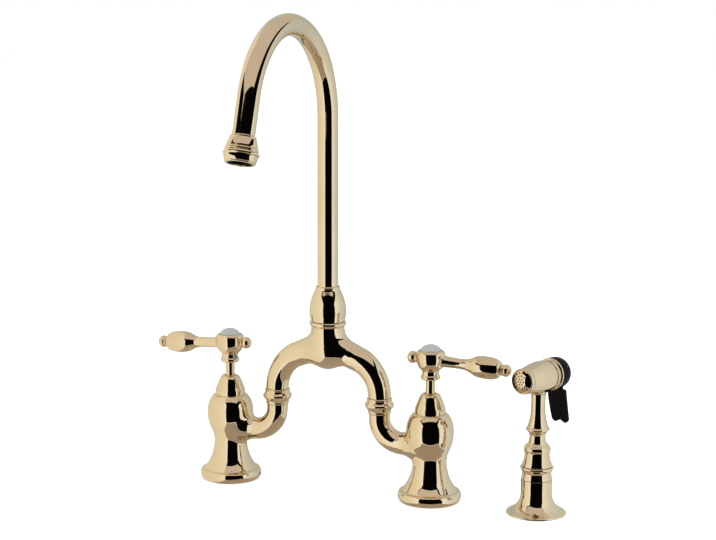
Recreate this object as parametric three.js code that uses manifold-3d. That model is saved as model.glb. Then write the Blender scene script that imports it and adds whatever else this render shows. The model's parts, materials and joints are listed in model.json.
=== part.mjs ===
// Bridge kitchen faucet with a side spray, modelled in millimetres, +Z up.
// +X runs along the bridge towards the cold valve and the side spray, -Y is the
// user's side. Everything is laid out from the spout's axis at deck level and
// moved at the end, so that the origin is the bottom centre of the whole part.

import * as THREE from 'three';
import { mergeVertices } from 'three/addons/utils/BufferGeometryUtils.js';
import Module from 'manifold-3d';

const wasm = await Module();
wasm.setup();

// ---------------------------------------------------------------- dimensions
const VALVE_X = 101.6;          // half of the 8 in (203.2 mm) valve spacing
const SPRAY_X = 203.2;          // side spray, one 4 in hole spacing beyond the cold valve
const UNION_X = 51.8;           // riser axis of the bridge legs
const UNION_Z = 85.0;           // height of the union rings' ridge
const TUBE_R = 9.65;            // spout tube outside radius
const TUBE_BORE = 8.45;
const ARC_R = 84.8;             // gooseneck centreline radius
const ARC_Z = 348.0;            // height of the centre of the gooseneck arc
const ARC_END = 161.9;          // degrees of arc before the straight tail
const TAIL = 38.0;              // straight tail after the arc
const TUBE_BOTTOM = 143.5;      // lower end of the tube, inside the bridge hub
const LEVER_Z = 131.9;          // lever axis height at the hub axis
const LEVER_DROOP = 3.44;       // degrees
const HEAD_Z = 124.2;           // spray head axis height
const HEAD_BACK = 25.4;         // face of the spray head to the wand axis
const HEAD_TURN = -19.6;        // degrees, how the spray head is turned in its holder

const CENTRE_X = 26.0;          // bottom centre of the whole part, from the spout's axis
const CENTRE_Y = -78.1;

const SEG_L = 16;               // large turned parts
const SEG_M = 12;
const SEG_S = 8;

// ------------------------------------------------------------------ finishes
const FINISH = {
  brass: { color: 0xd9c294, roughness: 0.08, metalness: 1.0 },
  castBrass: { color: 0xb08d55, roughness: 0.45, metalness: 1.0 },
  porcelain: { color: 0xd9d7d4, roughness: 0.12, metalness: 0.0 },
  ceramic: { color: 0xf0ece4, roughness: 0.25, metalness: 0.0 },
  rubber: { color: 0x1a1a1a, roughness: 0.85, metalness: 0.0 },
  fibre: { color: 0x6b3a2a, roughness: 0.9, metalness: 0.0 },
  nylon: { color: 0xe4e0d4, roughness: 0.5, metalness: 0.0 },
  blackPlastic: { color: 0x0b0b0c, roughness: 0.3, metalness: 0.0 },
  steel: { color: 0xb9babb, roughness: 0.25, metalness: 1.0 },
};

// ------------------------------------------------------------------- helpers
const rad = (d) => (d * Math.PI) / 180;

// Turned shape about +Z from [radius, height] pairs. An open profile starts and
// ends on the axis; a closed one joins its last point to its first.
function lathe(profile, segs, closed = false) {
  const pts = profile.map(([r, z]) => new THREE.Vector2(r, z));
  if (closed) pts.push(pts[0].clone());
  const g = new THREE.LatheGeometry(pts, segs);
  g.rotateX(Math.PI / 2);
  return g;
}

// A turned shape whose axis is bent along a plane curve. frame(s) gives the
// point and tangent at distance s; side is the unit normal of the plane.
function bentLathe(profile, segs, frame, side, closed = false) {
  const pts = profile.map(([r, s]) => new THREE.Vector2(r, s));
  if (closed) pts.push(pts[0].clone());
  const g = new THREE.LatheGeometry(pts, segs);
  const pos = g.attributes.position;
  const v = new THREE.Vector3();
  for (let i = 0; i < pos.count; i++) {
    v.fromBufferAttribute(pos, i);
    const { p, t } = frame(v.y);
    const n = new THREE.Vector3().crossVectors(side, t);
    pos.setXYZ(i,
      p.x + n.x * v.x + side.x * v.z,
      p.y + n.y * v.x + side.y * v.z,
      p.z + n.z * v.x + side.z * v.z);
  }
  return g;
}

function signedVolume(vp, tri) {
  let vol = 0;
  for (let i = 0; i < tri.length; i += 3) {
    const a = tri[i] * 3, b = tri[i + 1] * 3, c = tri[i + 2] * 3;
    vol += vp[a] * (vp[b + 1] * vp[c + 2] - vp[b + 2] * vp[c + 1])
      - vp[a + 1] * (vp[b] * vp[c + 2] - vp[b + 2] * vp[c])
      + vp[a + 2] * (vp[b] * vp[c + 1] - vp[b + 1] * vp[c]);
  }
  return vol / 6;
}

// Geometry with merged positions, no degenerate faces, faces pointing out.
function clean(geometry) {
  let g = geometry.clone();
  g.deleteAttribute('normal');
  g.deleteAttribute('uv');
  g = mergeVertices(g, 1e-4);
  const vp = new Float32Array(g.attributes.position.array);
  const src = g.index.array;
  const tri = [];
  for (let i = 0; i < src.length; i += 3) {
    const [a, b, c] = [src[i], src[i + 1], src[i + 2]];
    if (a !== b && b !== c && c !== a) tri.push(a, b, c);
  }
  if (signedVolume(vp, tri) < 0) {
    for (let i = 0; i < tri.length; i += 3) [tri[i + 1], tri[i + 2]] = [tri[i + 2], tri[i + 1]];
  }
  return { vp, tri: new Uint32Array(tri) };
}

function solid(geometry) {
  const { vp, tri } = clean(geometry);
  return new wasm.Manifold(new wasm.Mesh({ numProp: 3, vertProperties: vp, triVerts: tri }));
}

const join = (...gs) => gs.map(solid).reduce((a, b) => a.add(b));

function cut(base, ...tools) {
  let m = base;
  for (const t of tools) m = m.subtract(t instanceof THREE.BufferGeometry ? solid(t) : t);
  return m;
}

function toGeometry(shape) {
  let vp, tri;
  if (shape instanceof THREE.BufferGeometry) {
    ({ vp, tri } = clean(shape));
  } else {
    const m = shape.getMesh();
    vp = new Float32Array((m.vertProperties.length / m.numProp) * 3);
    for (let i = 0; i < vp.length / 3; i++) {
      for (let k = 0; k < 3; k++) vp[i * 3 + k] = m.vertProperties[i * m.numProp + k];
    }
    tri = new Uint32Array(m.triVerts);
  }
  const g = new THREE.BufferGeometry();
  g.setAttribute('position', new THREE.BufferAttribute(vp, 3));
  g.setIndex(new THREE.BufferAttribute(tri, 1));
  g.computeVertexNormals();
  return g;
}

function piece(parent, name, shape, finish) {
  const mat = new THREE.MeshStandardMaterial({ ...FINISH[finish], name: `${name}_finish` });
  const mesh = new THREE.Mesh(toGeometry(shape), mat);
  mesh.name = name;
  parent.add(mesh);
  return mesh;
}

// Cylinder of radius r from z0 to z1 about +Z, as a turned solid.
const rod = (r, z0, z1, segs = SEG_S) => lathe([[0, z0], [r, z0], [r, z1], [0, z1]], segs);
// Ring between two radii.
const ring = (r0, r1, z0, z1, segs = SEG_M) =>
  lathe([[r0, z0], [r1, z0], [r1, z1], [r0, z1]], segs, true);
// Turns a shape about +Z so that its axis lies along direction (dx, dy, dz).
function aim(g, dx, dy, dz) {
  const q = new THREE.Quaternion().setFromUnitVectors(
    new THREE.Vector3(0, 0, 1), new THREE.Vector3(dx, dy, dz).normalize());
  return g.applyQuaternion(q);
}
const move = (g, x, y, z) => g.translate(x, y, z);

function oRing(rMid, rWire, z, segs = SEG_L, sides = 4) {
  const p = [];
  for (let i = 0; i < sides; i++) {
    const a = (2 * Math.PI * (i + 0.5)) / sides;
    p.push([rMid + rWire * Math.cos(a), z + rWire * Math.sin(a)]);
  }
  return lathe(p, segs, true);
}

// ---------------------------------------------------------------- plane paths
// Elbow arm of a valve body, from the union down and round towards the bulb.
// Local X points towards the bridge; s = 0 at the top of the arm's spigot.
const ARM_BEND_R = 22.5;
const ARM_TOP = 83.7;
const ARM_BEND_Z = 73.3;
const ARM_U = VALVE_X - UNION_X;
function armFrame(s) {
  const s1 = ARM_TOP - ARM_BEND_Z;
  const s2 = s1 + (ARM_BEND_R * Math.PI) / 2;
  if (s < s1) {
    return { p: new THREE.Vector3(ARM_U, 0, ARM_TOP - s), t: new THREE.Vector3(0, 0, -1) };
  }
  if (s < s2) {
    const a = (s - s1) / ARM_BEND_R;
    return {
      p: new THREE.Vector3(ARM_U - ARM_BEND_R * (1 - Math.cos(a)), 0, ARM_BEND_Z - ARM_BEND_R * Math.sin(a)),
      t: new THREE.Vector3(-Math.sin(a), 0, -Math.cos(a)),
    };
  }
  return {
    p: new THREE.Vector3(ARM_U - ARM_BEND_R - (s - s2), 0, ARM_BEND_Z - ARM_BEND_R),
    t: new THREE.Vector3(-1, 0, 0),
  };
}

// Bridge leg, from its spigot in the union up and over to the hub.
const LEG_POINTS = [
  [51.8, 86.2], [51.8, 95.0], [50.2, 104.2], [46.5, 112.4], [41.3, 119.2],
  [34.8, 124.4], [27.0, 127.8], [19.0, 131.0], [9.0, 133.2], [0.0, 133.8],
];
function legFrame(sign) {
  const curve = new THREE.CatmullRomCurve3(
    LEG_POINTS.map(([x, z]) => new THREE.Vector3(sign * x, 0, z)), false, 'catmullrom', 0.5);
  const len = curve.getLength();
  return {
    len,
    frame(s) {
      const u = Math.min(Math.max(s / len, 0), 1);
      const p = curve.getPointAt(u);
      const t = curve.getTangentAt(u);
      const over = s - u * len;
      return { p: p.addScaledVector(t, over), t };
    },
  };
}

// Gooseneck in the plane x = 0. s = 0 where the arc begins.
const ARC_LEN = ARC_R * rad(ARC_END);
function spoutFrame(s) {
  if (s < 0) return { p: new THREE.Vector3(0, 0, ARC_Z + s), t: new THREE.Vector3(0, 0, 1) };
  const a = Math.min(s, ARC_LEN) / ARC_R;
  const p = new THREE.Vector3(0, -ARC_R * (1 - Math.cos(a)), ARC_Z + ARC_R * Math.sin(a));
  const t = new THREE.Vector3(0, -Math.sin(a), Math.cos(a));
  if (s > ARC_LEN) p.addScaledVector(t, s - ARC_LEN);
  return { p, t };
}

const AXIS_X = new THREE.Vector3(1, 0, 0);
const AXIS_Y = new THREE.Vector3(0, 1, 0);

// ------------------------------------------------------------------ one valve
function makeValve(tag) {
  const g = new THREE.Group();
  const n = (s) => `${s}_${tag}`;

  // body: flange, waist, bulb and elbow arm in one casting
  const bulb = lathe([
    [0, 0], [26.8, 0], [28.6, 2.4], [29.0, 6.0], [27.5, 9.3], [23.9, 13.7], [20.2, 17.7],
    [17.4, 25.2], [15.6, 36.0], [17.9, 47.3], [21.2, 58.0], [21.6, 66.5],
    [19.6, 76.2], [15.8, 81.7], [0, 81.7]], SEG_L);
  const arm = bentLathe([
    [0, 0], [8.8, 0], [8.8, 6.7], [9.9, 6.7], [9.9, 10.4], [10.0, 19.2], [10.1, 28.0],
    [10.2, 36.9], [10.4, 45.7], [11.4, 50.5], [13.3, 56.0], [13.3, 62.0], [0, 62.0]],
  SEG_M, armFrame, AXIS_Y);
  const armBore = bentLathe([
    [0, -1], [6.3, -1], [6.3, 10.4], [6.3, 22.2], [6.3, 34.0], [6.3, 45.7], [6.3, 60.0],
    [0, 60.0]], 8, armFrame, AXIS_Y);
  const body = cut(join(bulb, arm),
    ring(11.6, 24.4, -1, 2.3, SEG_L),
    rod(8.6, -1, 39, SEG_M),
    rod(5.4, 38, 48, SEG_S),
    rod(13.6, 47, 83, SEG_L),
    armBore);
  piece(g, n('valve_body'), body, 'brass');
  piece(g, n('deck_gasket'), ring(12.0, 24.0, 0.3, 2.0, SEG_L), 'rubber');

  // quarter-turn cartridge inside the bulb
  piece(g, n('seat_seal'), ring(5.8, 9.0, 47.3, 49.7, SEG_M), 'rubber');
  const housing = cut(solid(lathe([
    [7.6, 50.0], [9.5, 50.0], [9.5, 64.0], [12.9, 64.0], [12.9, 68.0], [8.0, 68.0],
    [8.0, 86.0], [4.85, 86.0], [4.85, 59.6], [7.6, 59.6]], SEG_M, true)),
  move(aim(rod(2.0, -12, 12, 8), 0, 1, 0), 0, 0, 56.6));
  piece(g, n('cartridge_housing'), housing, 'castBrass');
  const ports = () => [
    move(rod(1.9, 45, 60, 8), 3.9, 0, 0),
    move(rod(1.9, 45, 60, 8), -3.9, 0, 0)];
  piece(g, n('fixed_disc'), cut(solid(rod(7.1, 50.4, 53.1, SEG_M)), ...ports()), 'ceramic');

  // bonnet: cone with a threaded skirt inside the bulb's mouth
  piece(g, n('bonnet'), lathe([
    [9.0, 68.4], [13.1, 68.4], [13.1, 82.1], [14.1, 82.1], [14.1, 86.0], [12.0, 92.2],
    [9.8, 98.0], [8.0, 100.5], [6.0, 100.9], [5.15, 100.7], [5.15, 96.0], [9.0, 91.0]],
  SEG_M, true), 'brass');

  // union ring and its washer between the arm and the bridge leg
  const union = new THREE.Group();
  union.position.set(ARM_U, 0, 0);
  g.add(union);
  piece(union, n('union_ring'), lathe([
    [9.15, 77.3], [10.8, 77.4], [11.2, 80.6], [13.8, UNION_Z], [11.7, 89.8], [11.2, 92.0],
    [9.15, 92.1]], SEG_L, true), 'brass');
  piece(union, n('union_washer'), ring(6.6, 8.7, 84.0, 85.9, SEG_M), 'fibre');
  return g;
}

// ------------------------------------------- handle, stem and what turns with it
function makeHandle(tag) {
  const g = new THREE.Group();
  const n = (s) => `${s}_${tag}`;
  const out = [-Math.cos(rad(LEVER_DROOP)), 0, -Math.sin(rad(LEVER_DROOP))];
  const inn = out.map((v) => -v);

  piece(g, n('moving_disc'), cut(solid(rod(7.1, 53.4, 56.0, SEG_M)),
    move(rod(1.9, 50, 60, 8), 0, 5.6, 0), move(rod(1.9, 50, 60, 8), 0, -5.6, 0)), 'ceramic');
  piece(g, n('stem'), lathe([
    [0, 56.3], [6.8, 56.3], [6.8, 59.0], [4.45, 59.3], [4.45, 120.9], [3.65, 120.9],
    [3.65, 131.4], [1.8, 131.4], [1.8, 123.5], [0, 123.5]], 12), 'brass');

  const hub = lathe([
    [0, 113.4], [7.6, 113.4], [9.2, 115.6], [8.0, 118.0], [8.0, 122.0], [11.6, 125.6],
    [13.4, 132.0], [13.3, 138.0], [11.2, 140.4], [0, 140.4]], SEG_L);
  const lever = move(aim(lathe([
    [0, 8], [5.3, 8], [5.3, 14], [4.75, 25], [5.2, 34.5], [8.2, 41.2], [10.0, 48],
    [10.2, 55.5], [8.6, 63.3], [4.6, 66.9], [2.3, 67.0], [2.3, 69.6], [0, 69.6]],
  12), ...out), 0, 0, LEVER_Z);
  const boss = move(aim(lathe([
    [0, 9], [4.7, 9], [4.7, 14.4], [2.3, 14.4], [2.3, 16.8], [0, 16.8]], 12), ...inn), 0, 0, LEVER_Z);
  const screwDir = [Math.cos(rad(-23)), Math.sin(rad(-23)), 0];
  const handle = cut(join(hub, lever, boss),
    rod(4.75, 110, 121.2, 12), rod(4.0, 120, 133, 12), rod(10.4, 131.8, 150, SEG_L),
    move(aim(rod(2.2, 3, 12, 8), ...screwDir), 0, 0, 119.0));
  piece(g, n('handle'), handle, 'brass');

  piece(g, n('lever_tip'), move(aim(lathe([
    [0, 70.1], [2.7, 70.1], [2.7, 67.4], [4.4, 67.8], [5.7, 70.6], [5.1, 73.8],
    [2.9, 75.9], [0, 76.4]], 12), ...out), 0, 0, LEVER_Z), 'brass');
  piece(g, n('hub_ball'), move(aim(lathe([
    [0, 17.2], [2.7, 17.2], [2.7, 14.7], [5.2, 14.7], [5.65, 16.8], [4.9, 19.8],
    [2.8, 21.7], [0, 22.2]], 12), ...inn), 0, 0, LEVER_Z), 'brass');
  piece(g, n('handle_screw'), lathe([
    [0, 124.0], [1.45, 124.0], [1.45, 132.1], [4.4, 132.1], [4.4, 134.3],
    [0, 134.3]], SEG_S), 'steel');
  piece(g, n('porcelain_button'), lathe([
    [0, 134.6], [10.1, 134.6], [10.1, 140.2], [8.4, 143.2], [4.8, 145.3], [0, 146.0]], SEG_L), 'porcelain');
  piece(g, n('set_screw'), move(aim(rod(1.85, 4.95, 9.3, 10), ...screwDir), 0, 0, 119.0), 'steel');
  return g;
}

// ------------------------------------------------------------------- assembly
const faucet = new THREE.Group();

for (const [tag, x, turn] of [['hot', -VALVE_X, 0], ['cold', VALVE_X, Math.PI]]) {
  const side = new THREE.Group();
  side.position.set(x, 0, 0);
  side.rotation.z = turn;
  side.add(makeValve(tag), makeHandle(tag));
  faucet.add(side);
}

// ---- bridge: two legs and the hub that carries the spout
{
  const radii = [[6.3, 10.8], [14, 10.8], [23, 10.95], [32, 11.15], [41, 11.5], [50, 11.75],
    [59, 12.1], [67, 13.6], [76, 14.6]];
  const parts = [];
  const bores = [];
  for (const sign of [-1, 1]) {
    const { len, frame } = legFrame(sign);
    const prof = [[0, 0], [8.8, 0], [8.8, 6.3]];
    for (const [s, r] of radii) if (s < len - 2) prof.push([r, s]);
    prof.push([14.7, len + 1], [0, len + 1]);
    parts.push(bentLathe(prof, SEG_M, frame, AXIS_Y));
    const bore = [[0, -1]];
    for (let s = -1; s < len - 6; s += 13) bore.push([6.4, s]);
    bore.push([6.4, len], [0, len]);
    bores.push(bentLathe(bore, 8, frame, AXIS_Y));
  }
  const hub = lathe([
    [0, 113.6], [6.5, 114.5], [12.0, 117.9], [15.0, 126.0], [15.8, 142.0], [15.4, 155.8],
    [17.3, 157.4], [17.3, 159.4], [15.9, 160.3], [0, 160.3]], SEG_L);
  const bridge = cut(join(hub, ...parts), ...bores, rod(12.2, 131.5, 162, SEG_L));
  piece(faucet, 'bridge', bridge, 'brass');
}

// ---- spout and what holds and seals it
piece(faucet, 'spout_nut', lathe([
  [10.0, 150.2], [11.8, 150.2], [11.8, 160.6], [15.9, 160.6], [17.1, 168.4], [16.6, 176.0],
  [14.6, 184.0], [11.7, 190.4], [11.0, 193.4], [10.0, 193.4], [10.0, 186.0], [13.0, 180.0],
  [13.0, 166.0], [10.0, 162.0]], SEG_L, true), 'brass');
piece(faucet, 'spout_thrust_washer', ring(10.1, 11.6, 147.9, 149.8, SEG_L), 'nylon');
piece(faucet, 'spout_bushing', lathe([
  [8.2, 132.0], [11.7, 132.0], [11.7, 134.9], [10.15, 134.9], [10.15, 137.5], [11.7, 137.5],
  [11.7, 139.9], [10.15, 139.9], [10.15, 142.5], [11.7, 142.5], [11.7, 147.6],
  [10.0, 147.6], [10.0, 143.1], [8.2, 143.1]], SEG_L, true), 'castBrass');
piece(faucet, 'spout_o_ring_lower', oRing(11.05, 0.84, 136.2), 'rubber');
piece(faucet, 'spout_o_ring_upper', oRing(11.05, 0.84, 141.2), 'rubber');
{
  const s0 = TUBE_BOTTOM - ARC_Z;
  const s1 = ARC_LEN + TAIL;
  const stations = [s0];
  const inner = [s0];
  const steps = 18;
  for (let i = 0; i <= steps; i++) {
    const s = (ARC_LEN * i) / steps;
    stations.push(s);
    if (i % 2 === 0) inner.push(s);
  }
  stations.push(s1);
  inner.push(s1);
  const prof = stations.map((s) => [TUBE_R, s]).concat(inner.reverse().map((s) => [TUBE_BORE, s]));
  piece(faucet, 'spout_tube', bentLathe(prof, 12, spoutFrame, AXIS_X, true), 'brass');
}
{
  // aerator, modelled along its own axis from the end of the arc
  const g = new THREE.Group();
  const { p } = spoutFrame(ARC_LEN);
  g.position.copy(p);
  g.rotation.x = rad(ARC_END);
  faucet.add(g);
  piece(g, 'aerator_shell', lathe([
    [10.0, 33.0], [11.1, 33.2], [12.0, 36.4], [13.1, 41.0], [13.5, 43.6], [15.2, 45.2],
    [15.2, 48.0], [13.9, 51.5], [12.4, 55.9], [10.2, 55.9], [10.2, 54.9], [11.1, 54.9],
    [11.1, 38.6], [10.0, 38.6]], SEG_L, true), 'brass');
  piece(g, 'aerator_gasket', ring(8.7, 10.7, 39.6, 41.4, SEG_M), 'rubber');
  const holes = (r, count, ringR, z0, z1) => {
    const out = [];
    for (let i = 0; i < count; i++) {
      const a = (2 * Math.PI * i) / count;
      out.push(move(rod(r, z0, z1, 5), ringR * Math.cos(a), ringR * Math.sin(a), 0));
    }
    return out;
  };
  piece(g, 'aerator_screen', cut(solid(rod(10.7, 41.8, 42.6, SEG_M)),
    ...holes(1.4, 8, 6.6, 40, 44)), 'steel');
  piece(g, 'aerator_insert', cut(solid(rod(10.7, 43.0, 54.5, SEG_M)),
    ...holes(1.6, 8, 6.6, 42, 56)), 'blackPlastic');
}

// ---- side spray
{
  const base = new THREE.Group();
  base.position.set(SPRAY_X, 0, 0);
  faucet.add(base);
  piece(base, 'spray_base', cut(solid(lathe([
    [12.2, 0], [26.4, 0], [26.7, 0.6], [22.9, 3.5], [17.9, 7.4], [14.9, 12.0],
    [14.0, 18.0], [14.1, 31.3], [12.2, 31.3]], SEG_L, true)), ring(13.4, 23.2, -1, 2.3, SEG_L)), 'brass');
  piece(base, 'spray_deck_gasket', ring(13.8, 22.8, 0.3, 2.0, SEG_L), 'rubber');
  piece(base, 'spray_guide_collar', lathe([
    [10.5, 18.0], [11.8, 18.0], [11.8, 31.6], [14.0, 31.6], [13.1, 36.0], [15.0, 41.4],
    [14.5, 43.3], [10.5, 43.3]],
  SEG_L, true), 'brass');
  piece(base, 'spray_guide_liner', ring(8.4, 10.2, 18.0, 43.0, SEG_L), 'nylon');

  piece(base, 'hose_connector', lathe([
    [1.8, 3.6], [6.4, 3.6], [7.6, 5.2], [7.6, 13.6], [2.75, 13.6], [2.75, 20.0], [1.8, 20.0]],
  SEG_S, true), 'brass');

  // the wand and its head turn together in the holder
  const wand = new THREE.Group();
  wand.rotation.z = rad(HEAD_TURN);
  base.add(wand);
  piece(wand, 'spray_wand', lathe([
    [3.2, 13.9], [8.0, 13.9], [8.0, 43.6], [13.9, 43.6], [11.6, 51.6], [12.1, 59.4],
    [8.3, 64.9], [7.35, 71.6], [10.6, 77.2], [8.3, 82.8], [6.6, 91.5], [6.4, 103.0], [6.7, 109.3],
    [4.9, 109.3], [4.9, 113.6], [3.2, 113.6]], SEG_M, true), 'brass');

  // head: axis along local -Y, t measured back from its face
  const head = new THREE.Group();
  head.position.set(0, -HEAD_BACK, HEAD_Z);
  wand.add(head);
  const along = (g) => aim(g, 0, 1, 0);
  const shell = along(lathe([
    [10.0, 3.8], [10.0, 4.5], [11.7, 4.5], [12.2, 8.5], [13.4, 17.5], [14.3, 28.5], [13.6, 35.5],
    [13.4, 40.9], [14.5, 42.3], [14.5, 43.9], [14.2, 44.3], [12.4, 44.3], [12.4, 42.4], [2.4, 42.4],
    [2.4, 39.0], [8.0, 39.0], [8.0, 20.5], [3.0, 20.5], [3.0, 15.5], [8.4, 15.5], [8.4, 3.8]], SEG_M, true));
  const neck = move(lathe([
    [0, -14.6], [6.8, -14.6], [7.4, -12.5], [8.2, -9.5], [0, -9.5]], SEG_M), 0, HEAD_BACK, 0);
  const neckSocket = move(rod(5.2, -19, -10.3, SEG_M), 0, HEAD_BACK, 0);
  const neckBore = move(rod(3.2, -14, -4, 8), 0, HEAD_BACK, 0);
  piece(head, 'spray_head', cut(join(shell, neck), neckSocket, neckBore), 'brass');
  piece(head, 'nozzle_ring', along(lathe([
    [10.0, 0.0], [11.0, 0.0], [11.7, 1.0], [11.7, 4.2], [10.5, 4.2],
    [10.5, 1.4], [10.0, 1.4]], SEG_L, true)), 'brass');
  const jets = [];
  for (const [count, r] of [[1, 0], [5, 3.6], [10, 7.0]]) {
    for (let i = 0; i < count; i++) {
      const a = (2 * Math.PI * (i + 0.25)) / count;
      jets.push(move(along(rod(0.7, -3, 6, 4)), r * Math.cos(a), 0, r * Math.sin(a)));
    }
  }
  piece(head, 'spray_face', cut(solid(along(lathe([
    [0, -1.7], [5.0, -1.0], [9.7, 1.0], [9.7, 1.7], [10.2, 1.7], [10.2, 3.5], [0, 3.5]], SEG_M))), ...jets), 'brass');
  const cap = along(lathe([
    [0, 59.8], [8.0, 59.2], [10.9, 57.2], [10.9, 42.9], [11.8, 42.9], [11.8, 44.6],
    [14.4, 44.6], [14.4, 53.8], [13.4, 57.4], [10.2, 60.4], [5.0, 61.6], [0, 62.0]], SEG_L));
  const slot = move(new THREE.BoxGeometry(14.0, 8.8, 8.0), 0, 51.9, -12.0);
  const pinHole = move(aim(rod(1.55, -16, 16, 8), 1, 0, 0), 0, 53.5, 6.3);
  piece(head, 'rear_cap', cut(solid(cap), slot, pinHole), 'blackPlastic');
  piece(head, 'lever_pin', move(aim(rod(1.2, -11.6, 11.6, 8), 1, 0, 0), 0, 53.5, 6.3), 'steel');

  // thumb lever: side outline extruded across its width
  const plate = (outline, width) => {
    const s = new THREE.Shape(outline.map(([t, z]) => new THREE.Vector2(t, z)));
    const g = new THREE.ExtrudeGeometry(s, { depth: width, bevelEnabled: false });
    // outline (t, z) with the extrusion across: (x, y, z) -> (across, t, z)
    g.translate(0, 0, -width / 2);
    const m = new THREE.Matrix4().set(0, 0, 1, 0, 1, 0, 0, 0, 0, 1, 0, 0, 0, 0, 0, 1);
    g.applyMatrix4(m);
    return g;
  };
  const upper = plate([[52.0, -16.4], [55.0, -16.4], [55.0, 8.0], [52.0, 8.0]], 13.0);
  const lower = plate([[51.7, -15.2], [56.2, -15.2], [59.6, -30.0], [62.85, -44.6], [62.5, -46.6],
    [61.2, -47.2], [59.5, -46.2], [55.5, -30.0]], 19.0);
  const knuckle = move(aim(rod(2.35, -5.8, 5.8, 10), 1, 0, 0), 0, 53.5, 6.3);
  piece(head, 'spray_lever', cut(join(upper, lower, knuckle),
    move(aim(rod(1.55, -16, 16, 10), 1, 0, 0), 0, 53.5, 6.3)), 'blackPlastic');

  // valve plunger with its seal and return spring
  piece(head, 'valve_plunger', along(lathe([
    [0, 10.6], [4.6, 10.6], [4.6, 12.2], [1.4, 12.2], [1.4, 34.1], [4.6, 34.1], [4.6, 35.8],
    [2.05, 35.8], [2.05, 51.7], [0, 51.7]], 12)), 'castBrass');
  piece(head, 'plunger_seal', along(ring(1.75, 5.2, 12.5, 15.2, SEG_S)), 'rubber');
  class Coil extends THREE.Curve {
    getPoint(u, target = new THREE.Vector3()) {
      const a = 2 * Math.PI * 4 * u;
      return target.set(3.3 * Math.cos(a), 21.4 + 11.2 * u, 3.3 * Math.sin(a));
    }
  }
  const wire = new THREE.Shape();
  for (let i = 0; i < 4; i++) {
    const a = (2 * Math.PI * i) / 4;
    const [x, y] = [0.42 * Math.cos(a), 0.42 * Math.sin(a)];
    if (i === 0) wire.moveTo(x, y); else wire.lineTo(x, y);
  }
  piece(head, 'plunger_spring', new THREE.ExtrudeGeometry(wire, {
    steps: 32, bevelEnabled: false, extrudePath: new Coil() }), 'steel');
}

faucet.position.set(-CENTRE_X, -CENTRE_Y, 0);
const part = new THREE.Group();
part.add(faucet);

export default part;
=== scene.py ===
import json
import math
import bpy
import numpy as np
from mathutils import Matrix, Vector


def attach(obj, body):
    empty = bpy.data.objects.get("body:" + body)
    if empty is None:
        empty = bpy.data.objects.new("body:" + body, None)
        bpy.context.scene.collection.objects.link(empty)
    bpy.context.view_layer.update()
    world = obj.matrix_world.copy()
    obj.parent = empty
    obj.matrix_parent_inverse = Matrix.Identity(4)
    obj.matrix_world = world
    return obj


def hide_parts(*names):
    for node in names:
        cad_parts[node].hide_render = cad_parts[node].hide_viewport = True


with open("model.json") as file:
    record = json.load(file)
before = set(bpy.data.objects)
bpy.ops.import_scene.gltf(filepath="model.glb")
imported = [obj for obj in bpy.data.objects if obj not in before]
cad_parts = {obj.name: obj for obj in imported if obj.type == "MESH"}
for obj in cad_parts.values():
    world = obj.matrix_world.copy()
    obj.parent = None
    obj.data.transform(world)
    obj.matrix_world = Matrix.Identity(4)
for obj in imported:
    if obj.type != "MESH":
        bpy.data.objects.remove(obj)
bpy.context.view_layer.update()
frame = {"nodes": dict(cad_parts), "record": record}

# ------------------------------------------------------------------ dimensions
# Lengths in millimetres, laid out from the spout's axis at deck level and moved
# to the row frame when a mesh is made.
CENTRE_X, CENTRE_Y = 26.0, -78.1
VALVE_X = 101.6
SPRAY_X = 203.2
UNION_X = 51.8
UNION_Z = 85.0
TUBE_R = 9.65
ARC_R, ARC_Z, ARC_END, TAIL = 84.8, 348.0, 161.9, 38.0
LEVER_Z, LEVER_DROOP = 131.9, 3.44
HEAD_Z, HEAD_BACK, HEAD_TURN = 124.2, 25.4, -19.6
ARC_LEN = ARC_R * math.radians(ARC_END)

record = frame["record"]
BODY_OF = {n: b for b, ns in record["behaviour"]["bodies"].items() for n in ns}


# -------------------------------------------------------------------- matrices
def shift(x, y, z):
    m = np.eye(4)
    m[:3, 3] = (x, y, z)
    return m


def turn_z(deg):
    a = math.radians(deg)
    m = np.eye(4)
    m[0, 0] = m[1, 1] = math.cos(a)
    m[0, 1], m[1, 0] = -math.sin(a), math.sin(a)
    return m


def turn_x(deg):
    a = math.radians(deg)
    m = np.eye(4)
    m[1, 1] = m[2, 2] = math.cos(a)
    m[1, 2], m[2, 1] = -math.sin(a), math.sin(a)
    return m


def aim(d):
    """Turns +Z to lie along d."""
    q = Vector((0, 0, 1)).rotation_difference(Vector(d))
    return np.array(q.to_matrix().to_4x4())


def move(m, p):
    return p @ m[:3, :3].T + m[:3, 3]


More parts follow.
